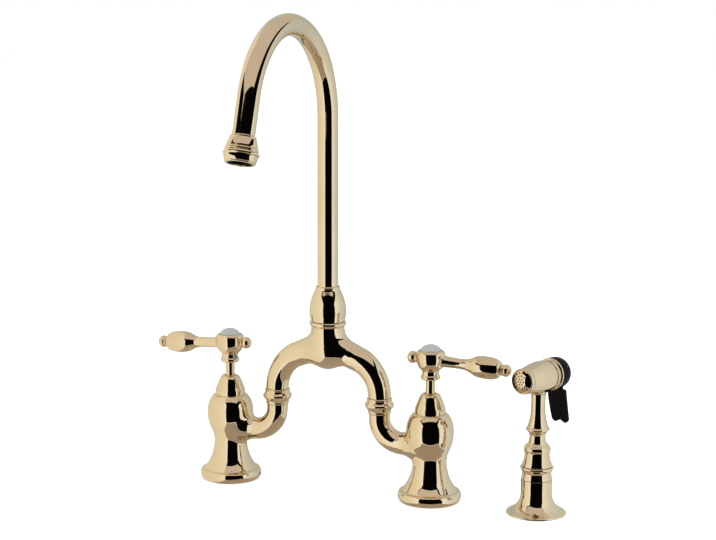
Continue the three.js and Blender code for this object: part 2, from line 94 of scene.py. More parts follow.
# -------------------------------------------------------------------- profiles
def profile(items, step=0.5, bevel=0.22, closed=False):
    """A smooth outline from (radius, height) corners and (radius, height, 1)
    points that a curve runs through. Returns its points and outward tangents."""
    pts = [(np.array(i[:2], float), len(i) > 2) for i in items]
    n = len(pts)
    out = []                                    # point, tangent in, tangent out
    last = n if closed else n - 1
    for i in range(last):
        p1, s1 = pts[i]
        p2, s2 = pts[(i + 1) % n]
        d = np.linalg.norm(p2 - p1)
        if d < 1e-9:
            continue
        if not s1 and not s2:
            t = (p2 - p1) / d
            out.append([p1, None, t])
            out.append([p2, t, None])
            continue
        p0 = pts[(i - 1) % n][0] if s1 and (closed or i > 0) else 2 * p1 - p2
        p3 = pts[(i + 2) % n][0] if s2 and (closed or i + 2 < n) else 2 * p2 - p1
        t0 = 0.0
        t1 = t0 + max(np.linalg.norm(p1 - p0), 1e-6) ** 0.5
        t2 = t1 + max(np.linalg.norm(p2 - p1), 1e-6) ** 0.5
        t3 = t2 + max(np.linalg.norm(p3 - p2), 1e-6) ** 0.5
        m1 = (t2 - t1) * ((p1 - p0) / (t1 - t0) - (p2 - p0) / (t2 - t0)) + (p2 - p1)
        m2 = (t2 - t1) * ((p3 - p2) / (t3 - t2) - (p3 - p1) / (t3 - t1)) + (p2 - p1)
        k = max(2, int(math.ceil(d / step)))
        for j in range(k + 1):
            u = j / k
            p = ((2 * u ** 3 - 3 * u ** 2 + 1) * p1 + (u ** 3 - 2 * u ** 2 + u) * m1
                 + (3 * u ** 2 - 2 * u ** 3) * p2 + (u ** 3 - u ** 2) * m2)
            t = ((6 * u ** 2 - 6 * u) * p1 + (3 * u ** 2 - 4 * u + 1) * m1
                 + (6 * u - 6 * u ** 2) * p2 + (3 * u ** 2 - 2 * u) * m2)
            t = t / max(np.linalg.norm(t), 1e-9)
            out.append([p, None if j == 0 else t, None if j == k else t])
    # merge the doubled points
    merged = []
    for p, a, b in out:
        if merged and np.linalg.norm(merged[-1][0] - p) < 1e-7:
            if a is not None:
                merged[-1][1] = a
            if b is not None:
                merged[-1][2] = b
        else:
            merged.append([p, a, b])
    if closed and np.linalg.norm(merged[0][0] - merged[-1][0]) < 1e-7:
        merged[0][1] = merged[-1][1]
        merged.pop()
    m = len(merged)
    P, T = [], []
    for i, (p, a, b) in enumerate(merged):
        if a is None or b is None:
            P.append(p)
            T.append(b if a is None else a)
            continue
        c = float(np.clip(a @ b, -1, 1))
        if c > math.cos(math.radians(9)):
            t = a + b
            P.append(p)
            T.append(t / np.linalg.norm(t))
            continue
        before = np.linalg.norm(merged[(i - 1) % m][0] - p)
        after = np.linalg.norm(merged[(i + 1) % m][0] - p)
        w = min(bevel, 0.42 * before, 0.42 * after)
        q0, q2 = p - a * w, p + b * w
        for j in range(6):
            u = j / 5
            P.append((1 - u) ** 2 * q0 + 2 * u * (1 - u) * p + u ** 2 * q2)
            t = (1 - u) * (p - q0) + u * (q2 - p)
            T.append(t / np.linalg.norm(t))
    return np.array(P), np.array(T)


# ---------------------------------------------------------------------- meshes
def to_row(v):
    return (np.asarray(v, float) - np.array([CENTRE_X, CENTRE_Y, 0.0])) * 0.001


def make_mesh(name, verts, quads, tris=None):
    quads = np.asarray(quads, np.int64).reshape(-1, 4)
    tris = np.zeros((0, 3), np.int64) if tris is None else np.asarray(tris, np.int64).reshape(-1, 3)
    me = bpy.data.meshes.new(name)
    me.vertices.add(len(verts))
    me.vertices.foreach_set("co", to_row(verts).astype(np.float32).ravel())
    loops = np.concatenate([quads.ravel(), tris.ravel()]).astype(np.int32)
    starts = np.concatenate([np.arange(len(quads)) * 4, len(quads) * 4 + np.arange(len(tris)) * 3])
    me.loops.add(len(loops))
    me.loops.foreach_set("vertex_index", loops)
    me.polygons.add(len(starts))
    me.polygons.foreach_set("loop_start", starts.astype(np.int32))
    me.update(calc_edges=True)
    return me


def set_normals(me, normals):
    me.shade_smooth()
    me.normals_split_custom_set_from_vertices([tuple(n) for n in normals])


def volume(v, quads, tris):
    f = np.concatenate([quads[:, [0, 1, 2]], quads[:, [0, 2, 3]], tris])
    a, b, c = v[f[:, 0]], v[f[:, 1]], v[f[:, 2]]
    return float(np.einsum("ij,ij->i", a, np.cross(b, c)).sum() / 6)


def lathe_arrays(P, T, segs, closed=False):
    """Vertices, normals, quads and triangles of a turned shape."""
    K = len(P)
    ang = 2 * math.pi * np.arange(segs) / segs
    ca, sa = np.cos(ang), np.sin(ang)
    nr, nz = T[:, 1], -T[:, 0]
    verts, norms, start = [], [], []
    count = 0
    for k in range(K):
        r, z = P[k]
        start.append(count)
        if r < 1e-6:
            verts.append([[0, 0, z]])
            norms.append([[0, 0, 1.0 if nz[k] >= 0 else -1.0]])
            count += 1
        else:
            verts.append(np.stack([r * ca, r * sa, np.full(segs, z)], 1))
            norms.append(np.stack([nr[k] * ca, nr[k] * sa, np.full(segs, nz[k])], 1))
            count += segs
    quads, tris = [], []
    i = np.arange(segs)
    j = (i + 1) % segs
    for k in range(K if closed else K - 1):
        a, b = k, (k + 1) % K
        pa, pb = P[a][0] < 1e-6, P[b][0] < 1e-6
        A, B = start[a], start[b]
        if pa and pb:
            continue
        if pa:
            tris.append(np.stack([np.full(segs, A), B + i, B + j], 1))
        elif pb:
            tris.append(np.stack([A + i, np.full(segs, B), A + j], 1))
        else:
            quads.append(np.stack([A + i, B + i, B + j, A + j], 1))
    verts = np.concatenate(verts)
    norms = np.concatenate(norms)
    quads = np.concatenate(quads) if quads else np.zeros((0, 4), int)
    tris = np.concatenate(tris) if tris else np.zeros((0, 3), int)
    if volume(verts, quads, tris) < 0:
        quads, tris = quads[:, ::-1], tris[:, ::-1]
    # the profile may run either way round, so the normals follow the faces
    f = np.concatenate([quads[:, :3], tris])
    fn = np.cross(verts[f[:, 1]] - verts[f[:, 0]], verts[f[:, 2]] - verts[f[:, 0]])
    if (fn * norms[f[:, 0]]).sum() < 0:
        norms = -norms
    return verts, norms, quads, tris


MATERIALS = {}


def add(name, me, node, mat, body=None, replace=True):
    """A finished piece: object, material, the node it stands for and its body."""
    ob = bpy.data.objects.new(name, me)
    bpy.context.scene.collection.objects.link(ob)
    ob.data.materials.clear()
    ob.data.materials.append(MATERIALS[mat])
    if replace:
        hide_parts(node)
    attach(ob, body or BODY_OF[node])
    return ob


def turned(name, items, node, mat, m=None, segs=96, closed=False, bevel=0.22, step=0.5, bend=None, normals=True):
    P, T = profile(items, step=step, bevel=bevel, closed=closed)
    v, n, q, t = lathe_arrays(P, T, segs, closed)
    if bend is not None:
        v, n = bend(v, n)
    if m is not None:
        v, n = move(m, v), n @ m[:3, :3].T
        if np.linalg.det(m[:3, :3]) < 0:
            q, t = q[:, ::-1], t[:, ::-1]
    me = make_mesh(name, v, q, t)
    if normals:
        set_normals(me, n)
    return add(name, me, node, mat)


def loose(items, m=None, segs=64, closed=False, bevel=0.15, step=0.5):
    """A turned solid as a bare object, for joining to or cutting from another."""
    P, T = profile(items, step=step, bevel=bevel, closed=closed)
    v, n, q, t = lathe_arrays(P, T, segs, closed)
    if m is not None:
        v = move(m, v)
    ob = bpy.data.objects.new("tool", make_mesh("tool", v, q, t))
    bpy.context.scene.collection.objects.link(ob)
    return ob


def prism(outline, z0, z1, m=None):
    """A straight prism from a flat outline, counter-clockwise, as a bare object."""
    k = len(outline)
    o = np.array(outline, float)
    v = np.concatenate([np.c_[o, np.full(k, z0)], np.c_[o, np.full(k, z1)]])
    if m is not None:
        v = move(m, v)
    me = bpy.data.meshes.new("tool")
    faces = [list(range(k))[::-1], list(range(k, 2 * k))]
    faces += [[i, (i + 1) % k, k + (i + 1) % k, k + i] for i in range(k)]
    me.from_pydata([tuple(p) for p in to_row(v)], [], faces)
    me.update()
    ob = bpy.data.objects.new("tool", me)
    bpy.context.scene.collection.objects.link(ob)
    return ob


def combine(me, cuts=(), joins=()):
    """me with tools joined to it and cut from it, as a new mesh."""
    ob = bpy.data.objects.new("work", me)
    bpy.context.scene.collection.objects.link(ob)
    for tool, op in [(t, "UNION") for t in joins] + [(t, "DIFFERENCE") for t in cuts]:
        mod = ob.modifiers.new("b", "BOOLEAN")
        mod.operation, mod.object = op, tool
        try:
            mod.solver = "MANIFOLD"
        except TypeError:
            mod.solver = "EXACT"
    bpy.context.view_layer.update()
    out = bpy.data.meshes.new_from_object(ob.evaluated_get(bpy.context.evaluated_depsgraph_get()))
    for o in [ob, *cuts, *joins]:
        data = o.data
        bpy.data.objects.remove(o)
        bpy.data.meshes.remove(data)
    return out


def crisp(me, deg=32):
    me.shade_smooth()
    me.set_sharp_from_angle(angle=math.radians(deg))
    return me


# -------------------------------------------------- smooth-blended cast shapes
class Turned:
    """Signed distance to a turned solid, in its own frame."""
    def __init__(self, items, m=None, pad=9.0, h=0.25, step=0.5, bevel=0.3):
        P, _ = profile(items, step=step, bevel=bevel)
        self.inv = None if m is None else np.linalg.inv(m)
        self.h = h
        self.z0 = P[:, 1].min() - pad
        R = np.arange(0, P[:, 0].max() + pad + h, h)
        Z = np.arange(self.z0, P[:, 1].max() + pad + h, h)
        g = np.stack(np.meshgrid(R, Z, indexing="ij"), -1).reshape(-1, 2).astype(np.float32)
        a, b = P[:-1].astype(np.float32), P[1:].astype(np.float32)
        d = np.empty(len(g), np.float32)
        for i in range(0, len(g), 30000):
            q = g[i:i + 30000, None, :]
            ab = b - a
            t = np.clip(((q - a) * ab).sum(-1) / np.maximum((ab * ab).sum(-1), 1e-12), 0, 1)
            e = q - a - t[..., None] * ab
            d[i:i + 30000] = np.sqrt((e * e).sum(-1).min(1))
        # inside where a ray towards +R crosses the outline an odd number of times
        inside = np.zeros(len(g), bool)
        for (r1, z1), (r2, z2) in zip(a, b):
            if z1 == z2:
                continue
            hit = (g[:, 1] > z1) != (g[:, 1] > z2)
            x = r1 + (g[:, 1] - z1) / (z2 - z1) * (r2 - r1)
            inside ^= hit & (x > g[:, 0])
        d[inside] *= -1
        self.table = d.reshape(len(R), len(Z)).astype(float)

    def __call__(self, p):
        if self.inv is not None:
            p = move(self.inv, p)
        return look_up(self.table, np.hypot(p[:, 0], p[:, 1]) / self.h, (p[:, 2] - self.z0) / self.h)


def look_up(table, x, y):
    nx, ny = table.shape
    x = np.clip(x, 0, nx - 1.001)
    y = np.clip(y, 0, ny - 1.001)
    i, j = x.astype(int), y.astype(int)
    fx, fy = x - i, y - j
    return ((1 - fx) * (1 - fy) * table[i, j] + fx * (1 - fy) * table[i + 1, j]
            + (1 - fx) * fy * table[i, j + 1] + fx * fy * table[i + 1, j + 1])


class Pipe:
    """Distance to a round bar of changing radius along a curve in the plane y = 0."""
    def __init__(self, centre, radius, pad=22.0, h=0.3):
        c = np.asarray(centre, float)
        r = np.asarray(radius, float)
        self.h = h
        self.lo = c.min(0) - pad
        X = np.arange(self.lo[0], c[:, 0].max() + pad + h, h)
        Z = np.arange(self.lo[1], c[:, 1].max() + pad + h, h)
        g = np.stack(np.meshgrid(X, Z, indexing="ij"), -1).reshape(-1, 2)
        a, b = c[:-1], c[1:]
        ab = b - a
        D, R = np.empty(len(g)), np.empty(len(g))
        for i in range(0, len(g), 20000):
            q = g[i:i + 20000, None, :]
            t = np.clip(((q - a) * ab).sum(-1) / (ab * ab).sum(-1), 0, 1)
            e = q - a - t[..., None] * ab
            e = (e * e).sum(-1)
            k = e.argmin(1)
            n = np.arange(len(k))
            D[i:i + 20000] = np.sqrt(e[n, k])
            R[i:i + 20000] = r[k] + t[n, k] * (r[k + 1] - r[k])
        self.D = D.reshape(len(X), len(Z))
        self.R = R.reshape(len(X), len(Z))

    def __call__(self, p):
        x, z = (p[:, 0] - self.lo[0]) / self.h, (p[:, 2] - self.lo[1]) / self.h
        return np.hypot(look_up(self.D, x, z), p[:, 1]) - look_up(self.R, x, z)


def blend(a, b, k):
    """Smooth union of two distances, with a fillet about k wide."""
    h = np.maximum(k - np.abs(a - b), 0) / k
    return np.minimum(a, b) - h ** 3 * k / 6


def grad(f, p, e=0.25):
    g = np.empty_like(p)
    for i in range(3):
        d = np.zeros(3)
        d[i] = e
        g[:, i] = (f(p + d) - f(p - d)) / (2 * e)
    return g


def shape_of(f, lo, hi, h):
    """Closed mesh of the surface f = 0 in a box: even quads, their corners projected onto f = 0."""
    lo = np.array(lo, float)
    n = np.ceil((np.array(hi, float) - lo) / h).astype(int) + 1
    ax = [lo[i] + h * np.arange(n[i]) for i in range(3)]
    V = np.empty(n)
    for i in range(n[0]):
        y, z = np.meshgrid(ax[1], ax[2], indexing="ij")
        V[i] = f(np.stack([np.full(y.size, ax[0][i]), y.ravel(), z.ravel()], 1)).reshape(n[1], n[2])
    s = V < 0
    corners = [(i, j, k) for i in (0, 1) for j in (0, 1) for k in (0, 1)]
    total = sum(s[i:n[0] - 1 + i, j:n[1] - 1 + j, k:n[2] - 1 + k].astype(np.int8) for i, j, k in corners)
    mask = (total > 0) & (total < 8)
    index = np.full(mask.shape, -1)
    cells = np.argwhere(mask)
    index[mask] = np.arange(len(cells))
    acc, cnt = np.zeros((len(cells), 3)), np.zeros(len(cells))
    for a in corners:
        for axis in range(3):
            if a[axis]:
                continue
            b = list(a)
            b[axis] = 1
            va = V[tuple((cells + a).T)]
            vb = V[tuple((cells + b).T)]
            hit = (va < 0) != (vb < 0)
            t = va[hit] / (va[hit] - vb[hit])
            p = np.array(a, float) + t[:, None] * (np.array(b) - np.array(a))
            acc[hit] += p
            cnt[hit] += 1
    P = lo + h * (cells + acc / cnt[:, None])
    quads = []
    for axis in range(3):
        u, w = [(1, 2), (2, 0), (0, 1)][axis]
        sl0, sl1 = [slice(None)] * 3, [slice(None)] * 3
        sl0[axis], sl1[axis] = slice(0, n[axis] - 1), slice(1, n[axis])
        flip = np.argwhere(s[tuple(sl0)] != s[tuple(sl1)])
        keep = (flip[:, u] > 0) & (flip[:, w] > 0) & (flip[:, u] < n[u] - 1) & (flip[:, w] < n[w] - 1)
        flip = flip[keep]
        du, dw = np.zeros(3, int), np.zeros(3, int)
        du[u], dw[w] = 1, 1
        q = np.stack([index[tuple((flip - du - dw).T)], index[tuple((flip - dw).T)],
                      index[tuple(flip.T)], index[tuple((flip - du).T)]], 1)
        start = s[tuple(flip.T)]
        q[~start] = q[~start][:, ::-1]
        quads.append(q)
    quads = np.concatenate(quads)
    quads = quads[(quads >= 0).all(1)]
    edges = np.concatenate([quads[:, [0, 1]], quads[:, [1, 2]], quads[:, [2, 3]], quads[:, [3, 0]]])
    degree = np.bincount(edges.ravel(), minlength=len(P)).astype(float)

    def project(P, times=1):
        for _ in range(times):
            g = grad(f, P)
            gg = np.maximum((g * g).sum(1), 0.05)
            P = P - np.clip(f(P) / gg, -h, h)[:, None] * g
        return P

    P = project(P, 2)
    for _ in range(4):
        mean = np.zeros_like(P)
        for i in range(3):
            mean[:, i] = (np.bincount(edges[:, 0], P[edges[:, 1], i], len(P))
                          + np.bincount(edges[:, 1], P[edges[:, 0], i], len(P))) / degree
        P = project(0.4 * P + 0.6 * mean)
    return project(P, 2), quads


def field_normals(me, f, m_inv=None):
    """Smooth normals where a face lies on f = 0, and flat ones on cut faces."""
    me.shade_smooth()
    co = np.empty(len(me.vertices) * 3)
    me.vertices.foreach_get("co", co)
    p = co.reshape(-1, 3) * 1000 + np.array([CENTRE_X, CENTRE_Y, 0.0])
    if m_inv is not None:
        p = move(m_inv, p)
    d = f(p)
    g = grad(f, p)
    g /= np.maximum(np.linalg.norm(g, axis=1, keepdims=True), 1e-9)
    if m_inv is not None:
        g = g @ np.linalg.inv(m_inv)[:3, :3].T
    vi = np.empty(len(me.loops), np.int32)
    me.loops.foreach_get("vertex_index", vi)
    pn = np.empty(len(me.polygons) * 3)
    me.polygons.foreach_get("normal", pn)
    pn = pn.reshape(-1, 3)
    start = np.empty(len(me.polygons), np.int32)
    me.polygons.foreach_get("loop_start", start)
    total = np.empty(len(me.polygons), np.int32)
    me.polygons.foreach_get("loop_total", total)
    face = np.repeat(np.arange(len(start)), total)
    n = pn[face]
    use = (np.abs(d[vi]) < 0.06) & ((g[vi] * n).sum(1) > 0.72)
    n[use] = g[vi][use]
    me.normals_split_custom_set([tuple(x) for x in n])
    return me


def cast(name, f, lo, hi, h, node, mat, m=None, cuts=(), joins=()):
    P, quads = shape_of(f, lo, hi, h)
    if m is not None:
        P = move(m, P)
    me = make_mesh(name, P, quads)
    if cuts or joins:
        me = combine(me, cuts, joins)
        me.name = name
    field_normals(me, f, None if m is None else np.linalg.inv(m))
    return add(name, me, node, mat)


# ------------------------------------------------------------------- materials
def new_material(name):
    mat = bpy.data.materials.new(name)
    mat.use_nodes = True
    nt = mat.node_tree
    nt.nodes.clear()
    out = nt.nodes.new("ShaderNodeOutputMaterial")
    bsdf = nt.nodes.new("ShaderNodeBsdfPrincipled")
    nt.links.new(bsdf.outputs[0], out.inputs[0])
    MATERIALS[name] = mat
    return mat, nt, bsdf


def noise(nt, scale, detail=3.0, rough=0.5, stretch=(1, 1, 1), distortion=0.0):
    tc = nt.nodes.new("ShaderNodeTexCoord")
    mp = nt.nodes.new("ShaderNodeMapping")
    mp.inputs["Scale"].default_value = stretch
    nt.links.new(tc.outputs["Object"], mp.inputs["Vector"])
    nz = nt.nodes.new("ShaderNodeTexNoise")
    nz.inputs["Scale"].default_value = scale
    nz.inputs["Detail"].default_value = detail
    nz.inputs["Roughness"].default_value = rough
    nz.inputs["Distortion"].default_value = distortion
    nt.links.new(mp.outputs[0], nz.inputs["Vector"])
    return nz.outputs["Fac"]


def ramp(nt, fac, stops):
    r = nt.nodes.new("ShaderNodeValToRGB")
    nt.links.new(fac, r.inputs[0])
    while len(r.color_ramp.elements) < len(stops):
        r.color_ramp.elements.new(0.5)
    for e, (p, c) in zip(r.color_ramp.elements, stops):
        e.position = p
        e.color = (*c, 1) if len(c) == 3 else c
    return r.outputs[0]


def span(nt, fac, lo, hi):
    r = nt.nodes.new("ShaderNodeMapRange")
    nt.links.new(fac, r.inputs["Value"])
    r.inputs["From Min"].default_value = 0.3
    r.inputs["From Max"].default_value = 0.7
    r.inputs["To Min"].default_value = lo
    r.inputs["To Max"].default_value = hi
    return r.outputs[0]


def math_node(nt, op, a, b):
    n = nt.nodes.new("ShaderNodeMath")
    n.operation = op
    for i, x in enumerate((a, b)):
        if isinstance(x, (int, float)):
            n.inputs[i].default_value = x
        else:
            nt.links.new(x, n.inputs[i])
    return n.outputs[0]


def bump(nt, bsdf, height, strength, distance, under=None):
    b = nt.nodes.new("ShaderNodeBump")
    b.inputs["Strength"].default_value = strength
    b.inputs["Distance"].default_value = distance
    nt.links.new(height, b.inputs["Height"])
    if under is not None:
        nt.links.new(under, b.inputs["Normal"])
    nt.links.new(b.outputs[0], bsdf.inputs["Normal"])
    return b.outputs[0]


def polished(name, dark, light, r0, r1, wave=0.05, scratch=0.02):
    """Polished metal: slow colour drift, fine polishing marks and faint waviness."""
    mat, nt, b = new_material(name)
    b.inputs["Metallic"].default_value = 1.0
    drift = noise(nt, 22, 2.0, 0.5)
    nt.links.new(ramp(nt, drift, [(0.3, dark), (0.72, light)]), b.inputs["Base Color"])
    marks = noise(nt, 1400, 2.0, 0.6, (1, 1, 0.12))
    haze = noise(nt, 60, 4.0, 0.55)
    rough = math_node(nt, "ADD", span(nt, haze, r0, r1), math_node(nt, "MULTIPLY", marks, 0.02))
    nt.links.new(rough, b.inputs["Roughness"])
    low = bump(nt, b, noise(nt, 75, 2.0, 0.45), wave, 0.001)
    bump(nt, b, marks, scratch, 0.00004, low)
    return mat


polished("polished_brass", (0.835, 0.690, 0.462), (0.880, 0.745, 0.520), 0.03, 0.06)
polished("machined_brass", (0.50, 0.36, 0.17), (0.62, 0.46, 0.24), 0.22, 0.34, 0.08, 0.3)
polished("steel", (0.55, 0.56, 0.57), (0.66, 0.67, 0.68), 0.14, 0.24, 0.03, 0.2)


def dielectric(name, c0, c1, r0, r1, scale, bump_scale, bump_strength, bump_distance, coat=0.0, specular=0.5):
    mat, nt, b = new_material(name)
    b.inputs["Specular IOR Level"].default_value = specular
    b.inputs["Coat Weight"].default_value = coat
    b.inputs["Coat Roughness"].default_value = 0.04
    nt.links.new(ramp(nt, noise(nt, scale, 5.0, 0.6), [(0.3, c0), (0.7, c1)]), b.inputs["Base Color"])
    nt.links.new(span(nt, noise(nt, scale * 2.3, 4.0, 0.6), r0, r1), b.inputs["Roughness"])
    bump(nt, b, noise(nt, bump_scale, 4.0, 0.6), bump_strength, bump_distance)
    return mat


dielectric("porcelain", (0.375, 0.375, 0.385), (0.43, 0.43, 0.43), 0.05, 0.10, 160, 260, 0.05, 0.0002, coat=1.0)
dielectric("ceramic", (0.80, 0.77, 0.70), (0.86, 0.84, 0.78), 0.25, 0.35, 300, 1500, 0.08, 0.0001)
dielectric("rubber", (0.012, 0.012, 0.012), (0.028, 0.027, 0.026), 0.6, 0.8, 500, 2600, 0.4, 0.0002)
dielectric("fibre", (0.16, 0.055, 0.03), (0.26, 0.10, 0.055), 0.8, 0.95, 900, 3000, 0.5, 0.0003)
dielectric("nylon", (0.68, 0.66, 0.58), (0.76, 0.74, 0.66), 0.35, 0.5, 260, 2200, 0.15, 0.0001)
dielectric("black_plastic", (0.002, 0.002, 0.0025), (0.006, 0.006, 0.0065), 0.18, 0.32, 420, 3800, 0.35, 0.00012, specular=0.06)

# hidden and inner CAD nodes keep their shape and get a finish from the same set
KEPT = {
    "seat_seal": "rubber", "cartridge_housing": "machined_brass", "fixed_disc": "ceramic",
    "union_washer": "fibre", "moving_disc": "ceramic", "handle_screw": "steel",
    "spout_thrust_washer": "nylon", "spout_bushing": "machined_brass", "spout_o_ring_lower": "rubber",
    "spout_o_ring_upper": "rubber", "aerator_gasket": "rubber", "spray_guide_liner": "nylon",
    "lever_pin": "steel", "valve_plunger": "machined_brass", "plunger_seal": "rubber",
    "plunger_spring": "steel",
}

# ----------------------------------------------------------------- plane paths
ARM_BEND_R, ARM_TOP, ARM_BEND_Z = 22.5, 83.7, 73.3
ARM_U = VALVE_X - UNION_X


def arm_point(s):
    s1 = ARM_TOP - ARM_BEND_Z
    s2 = s1 + ARM_BEND_R * math.pi / 2
    if s < s1:
        return ARM_U, ARM_TOP - s
    if s < s2:
        a = (s - s1) / ARM_BEND_R
        return ARM_U - ARM_BEND_R * (1 - math.cos(a)), ARM_BEND_Z - ARM_BEND_R * math.sin(a)
    return ARM_U - ARM_BEND_R - (s - s2), ARM_BEND_Z - ARM_BEND_R


LEG_POINTS = np.array([
    [51.8, 86.2], [51.8, 95.0], [50.2, 104.2], [46.5, 112.4], [41.3, 119.2],
    [34.8, 124.4], [27.0, 127.8], [19.0, 131.0], [9.0, 133.2], [0.0, 133.8]])


def leg_path(k=160):
    """The leg's centre line, evenly spaced, from a Catmull-Rom curve."""
    p = np.vstack([2 * LEG_POINTS[0] - LEG_POINTS[1], LEG_POINTS, LEG_POINTS[-2] * (-1, 1)])
    out = []
    for i in range(1, len(p) - 2):
        for u in np.linspace(0, 1, 40, endpoint=False):
            a, b, c, d = p[i - 1:i + 3]
            out.append(0.5 * (2 * b + (c - a) * u + (2 * a - 5 * b + 4 * c - d) * u * u
                              + (3 * b - a - 3 * c + d) * u ** 3))
    out = np.array(out + [LEG_POINTS[-1]])
    s = np.r_[0, np.cumsum(np.linalg.norm(np.diff(out, axis=0), axis=1))]
    t = np.linspace(0, s[-1], k)
    return np.c_[np.interp(t, s, out[:, 0]), np.interp(t, s, out[:, 1])], t


def spout_frame(s):
    """Point and tangent of the gooseneck at distances s from where its arc begins."""
    s = np.asarray(s, float)
    a = np.clip(s, 0, ARC_LEN) / ARC_R
    p = np.stack([np.zeros_like(s), -ARC_R * (1 - np.cos(a)), ARC_Z + ARC_R * np.sin(a)], 1)
    t = np.stack([np.zeros_like(s), -np.sin(a), np.cos(a)], 1)
    over = np.where(s > ARC_LEN, s - ARC_LEN, np.where(s < 0, s, 0))
    return p + t * over[:, None], t


def spout_bend(v, n):
    p, t = spout_frame(v[:, 2])
    x = np.array([1.0, 0, 0])
    side = np.cross(t, x)                      # completes the section's frame
    out = p + v[:, :1] * x + v[:, 1:2] * side
    nn = n[:, :1] * x + n[:, 1:2] * side + n[:, 2:3] * t
    return out, nn


# ------------------------------------------------------------------ the valves
BULB = [
    (0, -4), (26.6, -4), (26.6, -0.8), (27.2, 0.4, 1), (28.3, 1.9, 1), (28.95, 4.0, 1), (29.05, 6.0, 1),
    (28.7, 7.9, 1), (27.8, 9.3, 1), (26.6, 9.9), (25.4, 10.1), (24.1, 11.7, 1), (22.7, 13.7, 1), (21.3, 15.8, 1),
    (20.0, 18.2, 1), (18.5, 21.6, 1), (16.95, 27.0, 1), (15.75, 34.0, 1), (16.0, 41.5, 1), (17.9, 47.3, 1), (20.5, 54.0, 1), (21.8, 61.0, 1),
    (21.85, 67.0, 1), (21.1, 72.6, 1), (19.4, 77.0, 1), (17.4, 80.2, 1), (15.9, 81.6, 1), (14.2, 82.6),
    (0, 82.6)]
ARM_RADII = [(-9, 9.9), (10.4, 9.9), (15.4, 9.9), (20.4, 10.0), (30.4, 10.2), (40.4, 10.25), (45.7, 10.4),
             (50.5, 11.2), (54.0, 12.6), (57.5, 13.4), (64.0, 13.4)]


def valve_field():
    s = np.linspace(-9, 66, 125)
    pipe = Pipe([arm_point(x) for x in s], np.interp(s, *zip(*ARM_RADII)))
    bulb = Turned(BULB)
    return lambda p: blend(bulb(p), pipe(p), 7.0)


def hex_outline(across):
    r = across / math.sqrt(3)
    return [(r * math.cos(math.radians(60 * i)), r * math.sin(math.radians(60 * i))) for i in range(6)]


SCREW_DIR = (math.cos(math.radians(-23)), math.sin(math.radians(-23)), 0)
LEVER_OUT = (-math.cos(math.radians(LEVER_DROOP)), 0, -math.sin(math.radians(LEVER_DROOP)))
LEVER_IN = tuple(-x for x in LEVER_OUT)

HUB = [
    (0, 113.4), (7.3, 113.4), (8.5, 113.9, 1), (9.15, 115.4, 1), (8.85, 116.8, 1), (8.1, 117.8), (7.95, 118.8, 1),
    (7.9, 120.6, 1), (8.1, 122.0), (9.6, 123.3, 1), (11.5, 125.6, 1), (12.7, 128.8, 1), (13.3, 132.6, 1),
    (13.5, 136.0, 1), (13.15, 138.4, 1), (12.1, 139.9, 1), (11.0, 140.5), (9.5, 140.3), (0, 140.3)]
LEVER = [
    (0, 6), (5.45, 6), (5.35, 12.0, 1), (5.1, 17, 1), (4.82, 22, 1), (4.75, 27, 1), (4.9, 31, 1), (5.45, 35, 1),
    (6.7, 38.4, 1), (8.3, 41.6, 1), (9.4, 44.6, 1), (10.0, 48, 1), (10.25, 53, 1), (10.1, 57, 1), (9.6, 60.6, 1),
    (8.7, 63.4, 1), (7.2, 65.7, 1), (5.4, 66.8, 1), (4.4, 67.0), (2.3, 67.0), (2.3, 69.6), (0, 69.6)]
BOSS = [(0, 6), (4.75, 6), (4.7, 14.4), (2.3, 14.4), (2.3, 16.8), (0, 16.8)]


def handle_field():
    hub = Turned(HUB, pad=6)
    lever = Turned(LEVER, shift(0, 0, LEVER_Z) @ aim(LEVER_OUT), pad=6)
    boss = Turned(BOSS, shift(0, 0, LEVER_Z) @ aim(LEVER_IN), pad=6)
    return lambda p: blend(blend(hub(p), lever(p), 2.0), boss(p), 1.2)


valve_f, handle_f = valve_field(), handle_field()
valve_shape = shape_of(valve_f, (-31, -31, -5.6), (63, 31, 104), 0.8)
handle_shape = shape_of(handle_f, (-72.5, -15.5, 111.5), (18.5, 15.5, 142.5), 0.5)

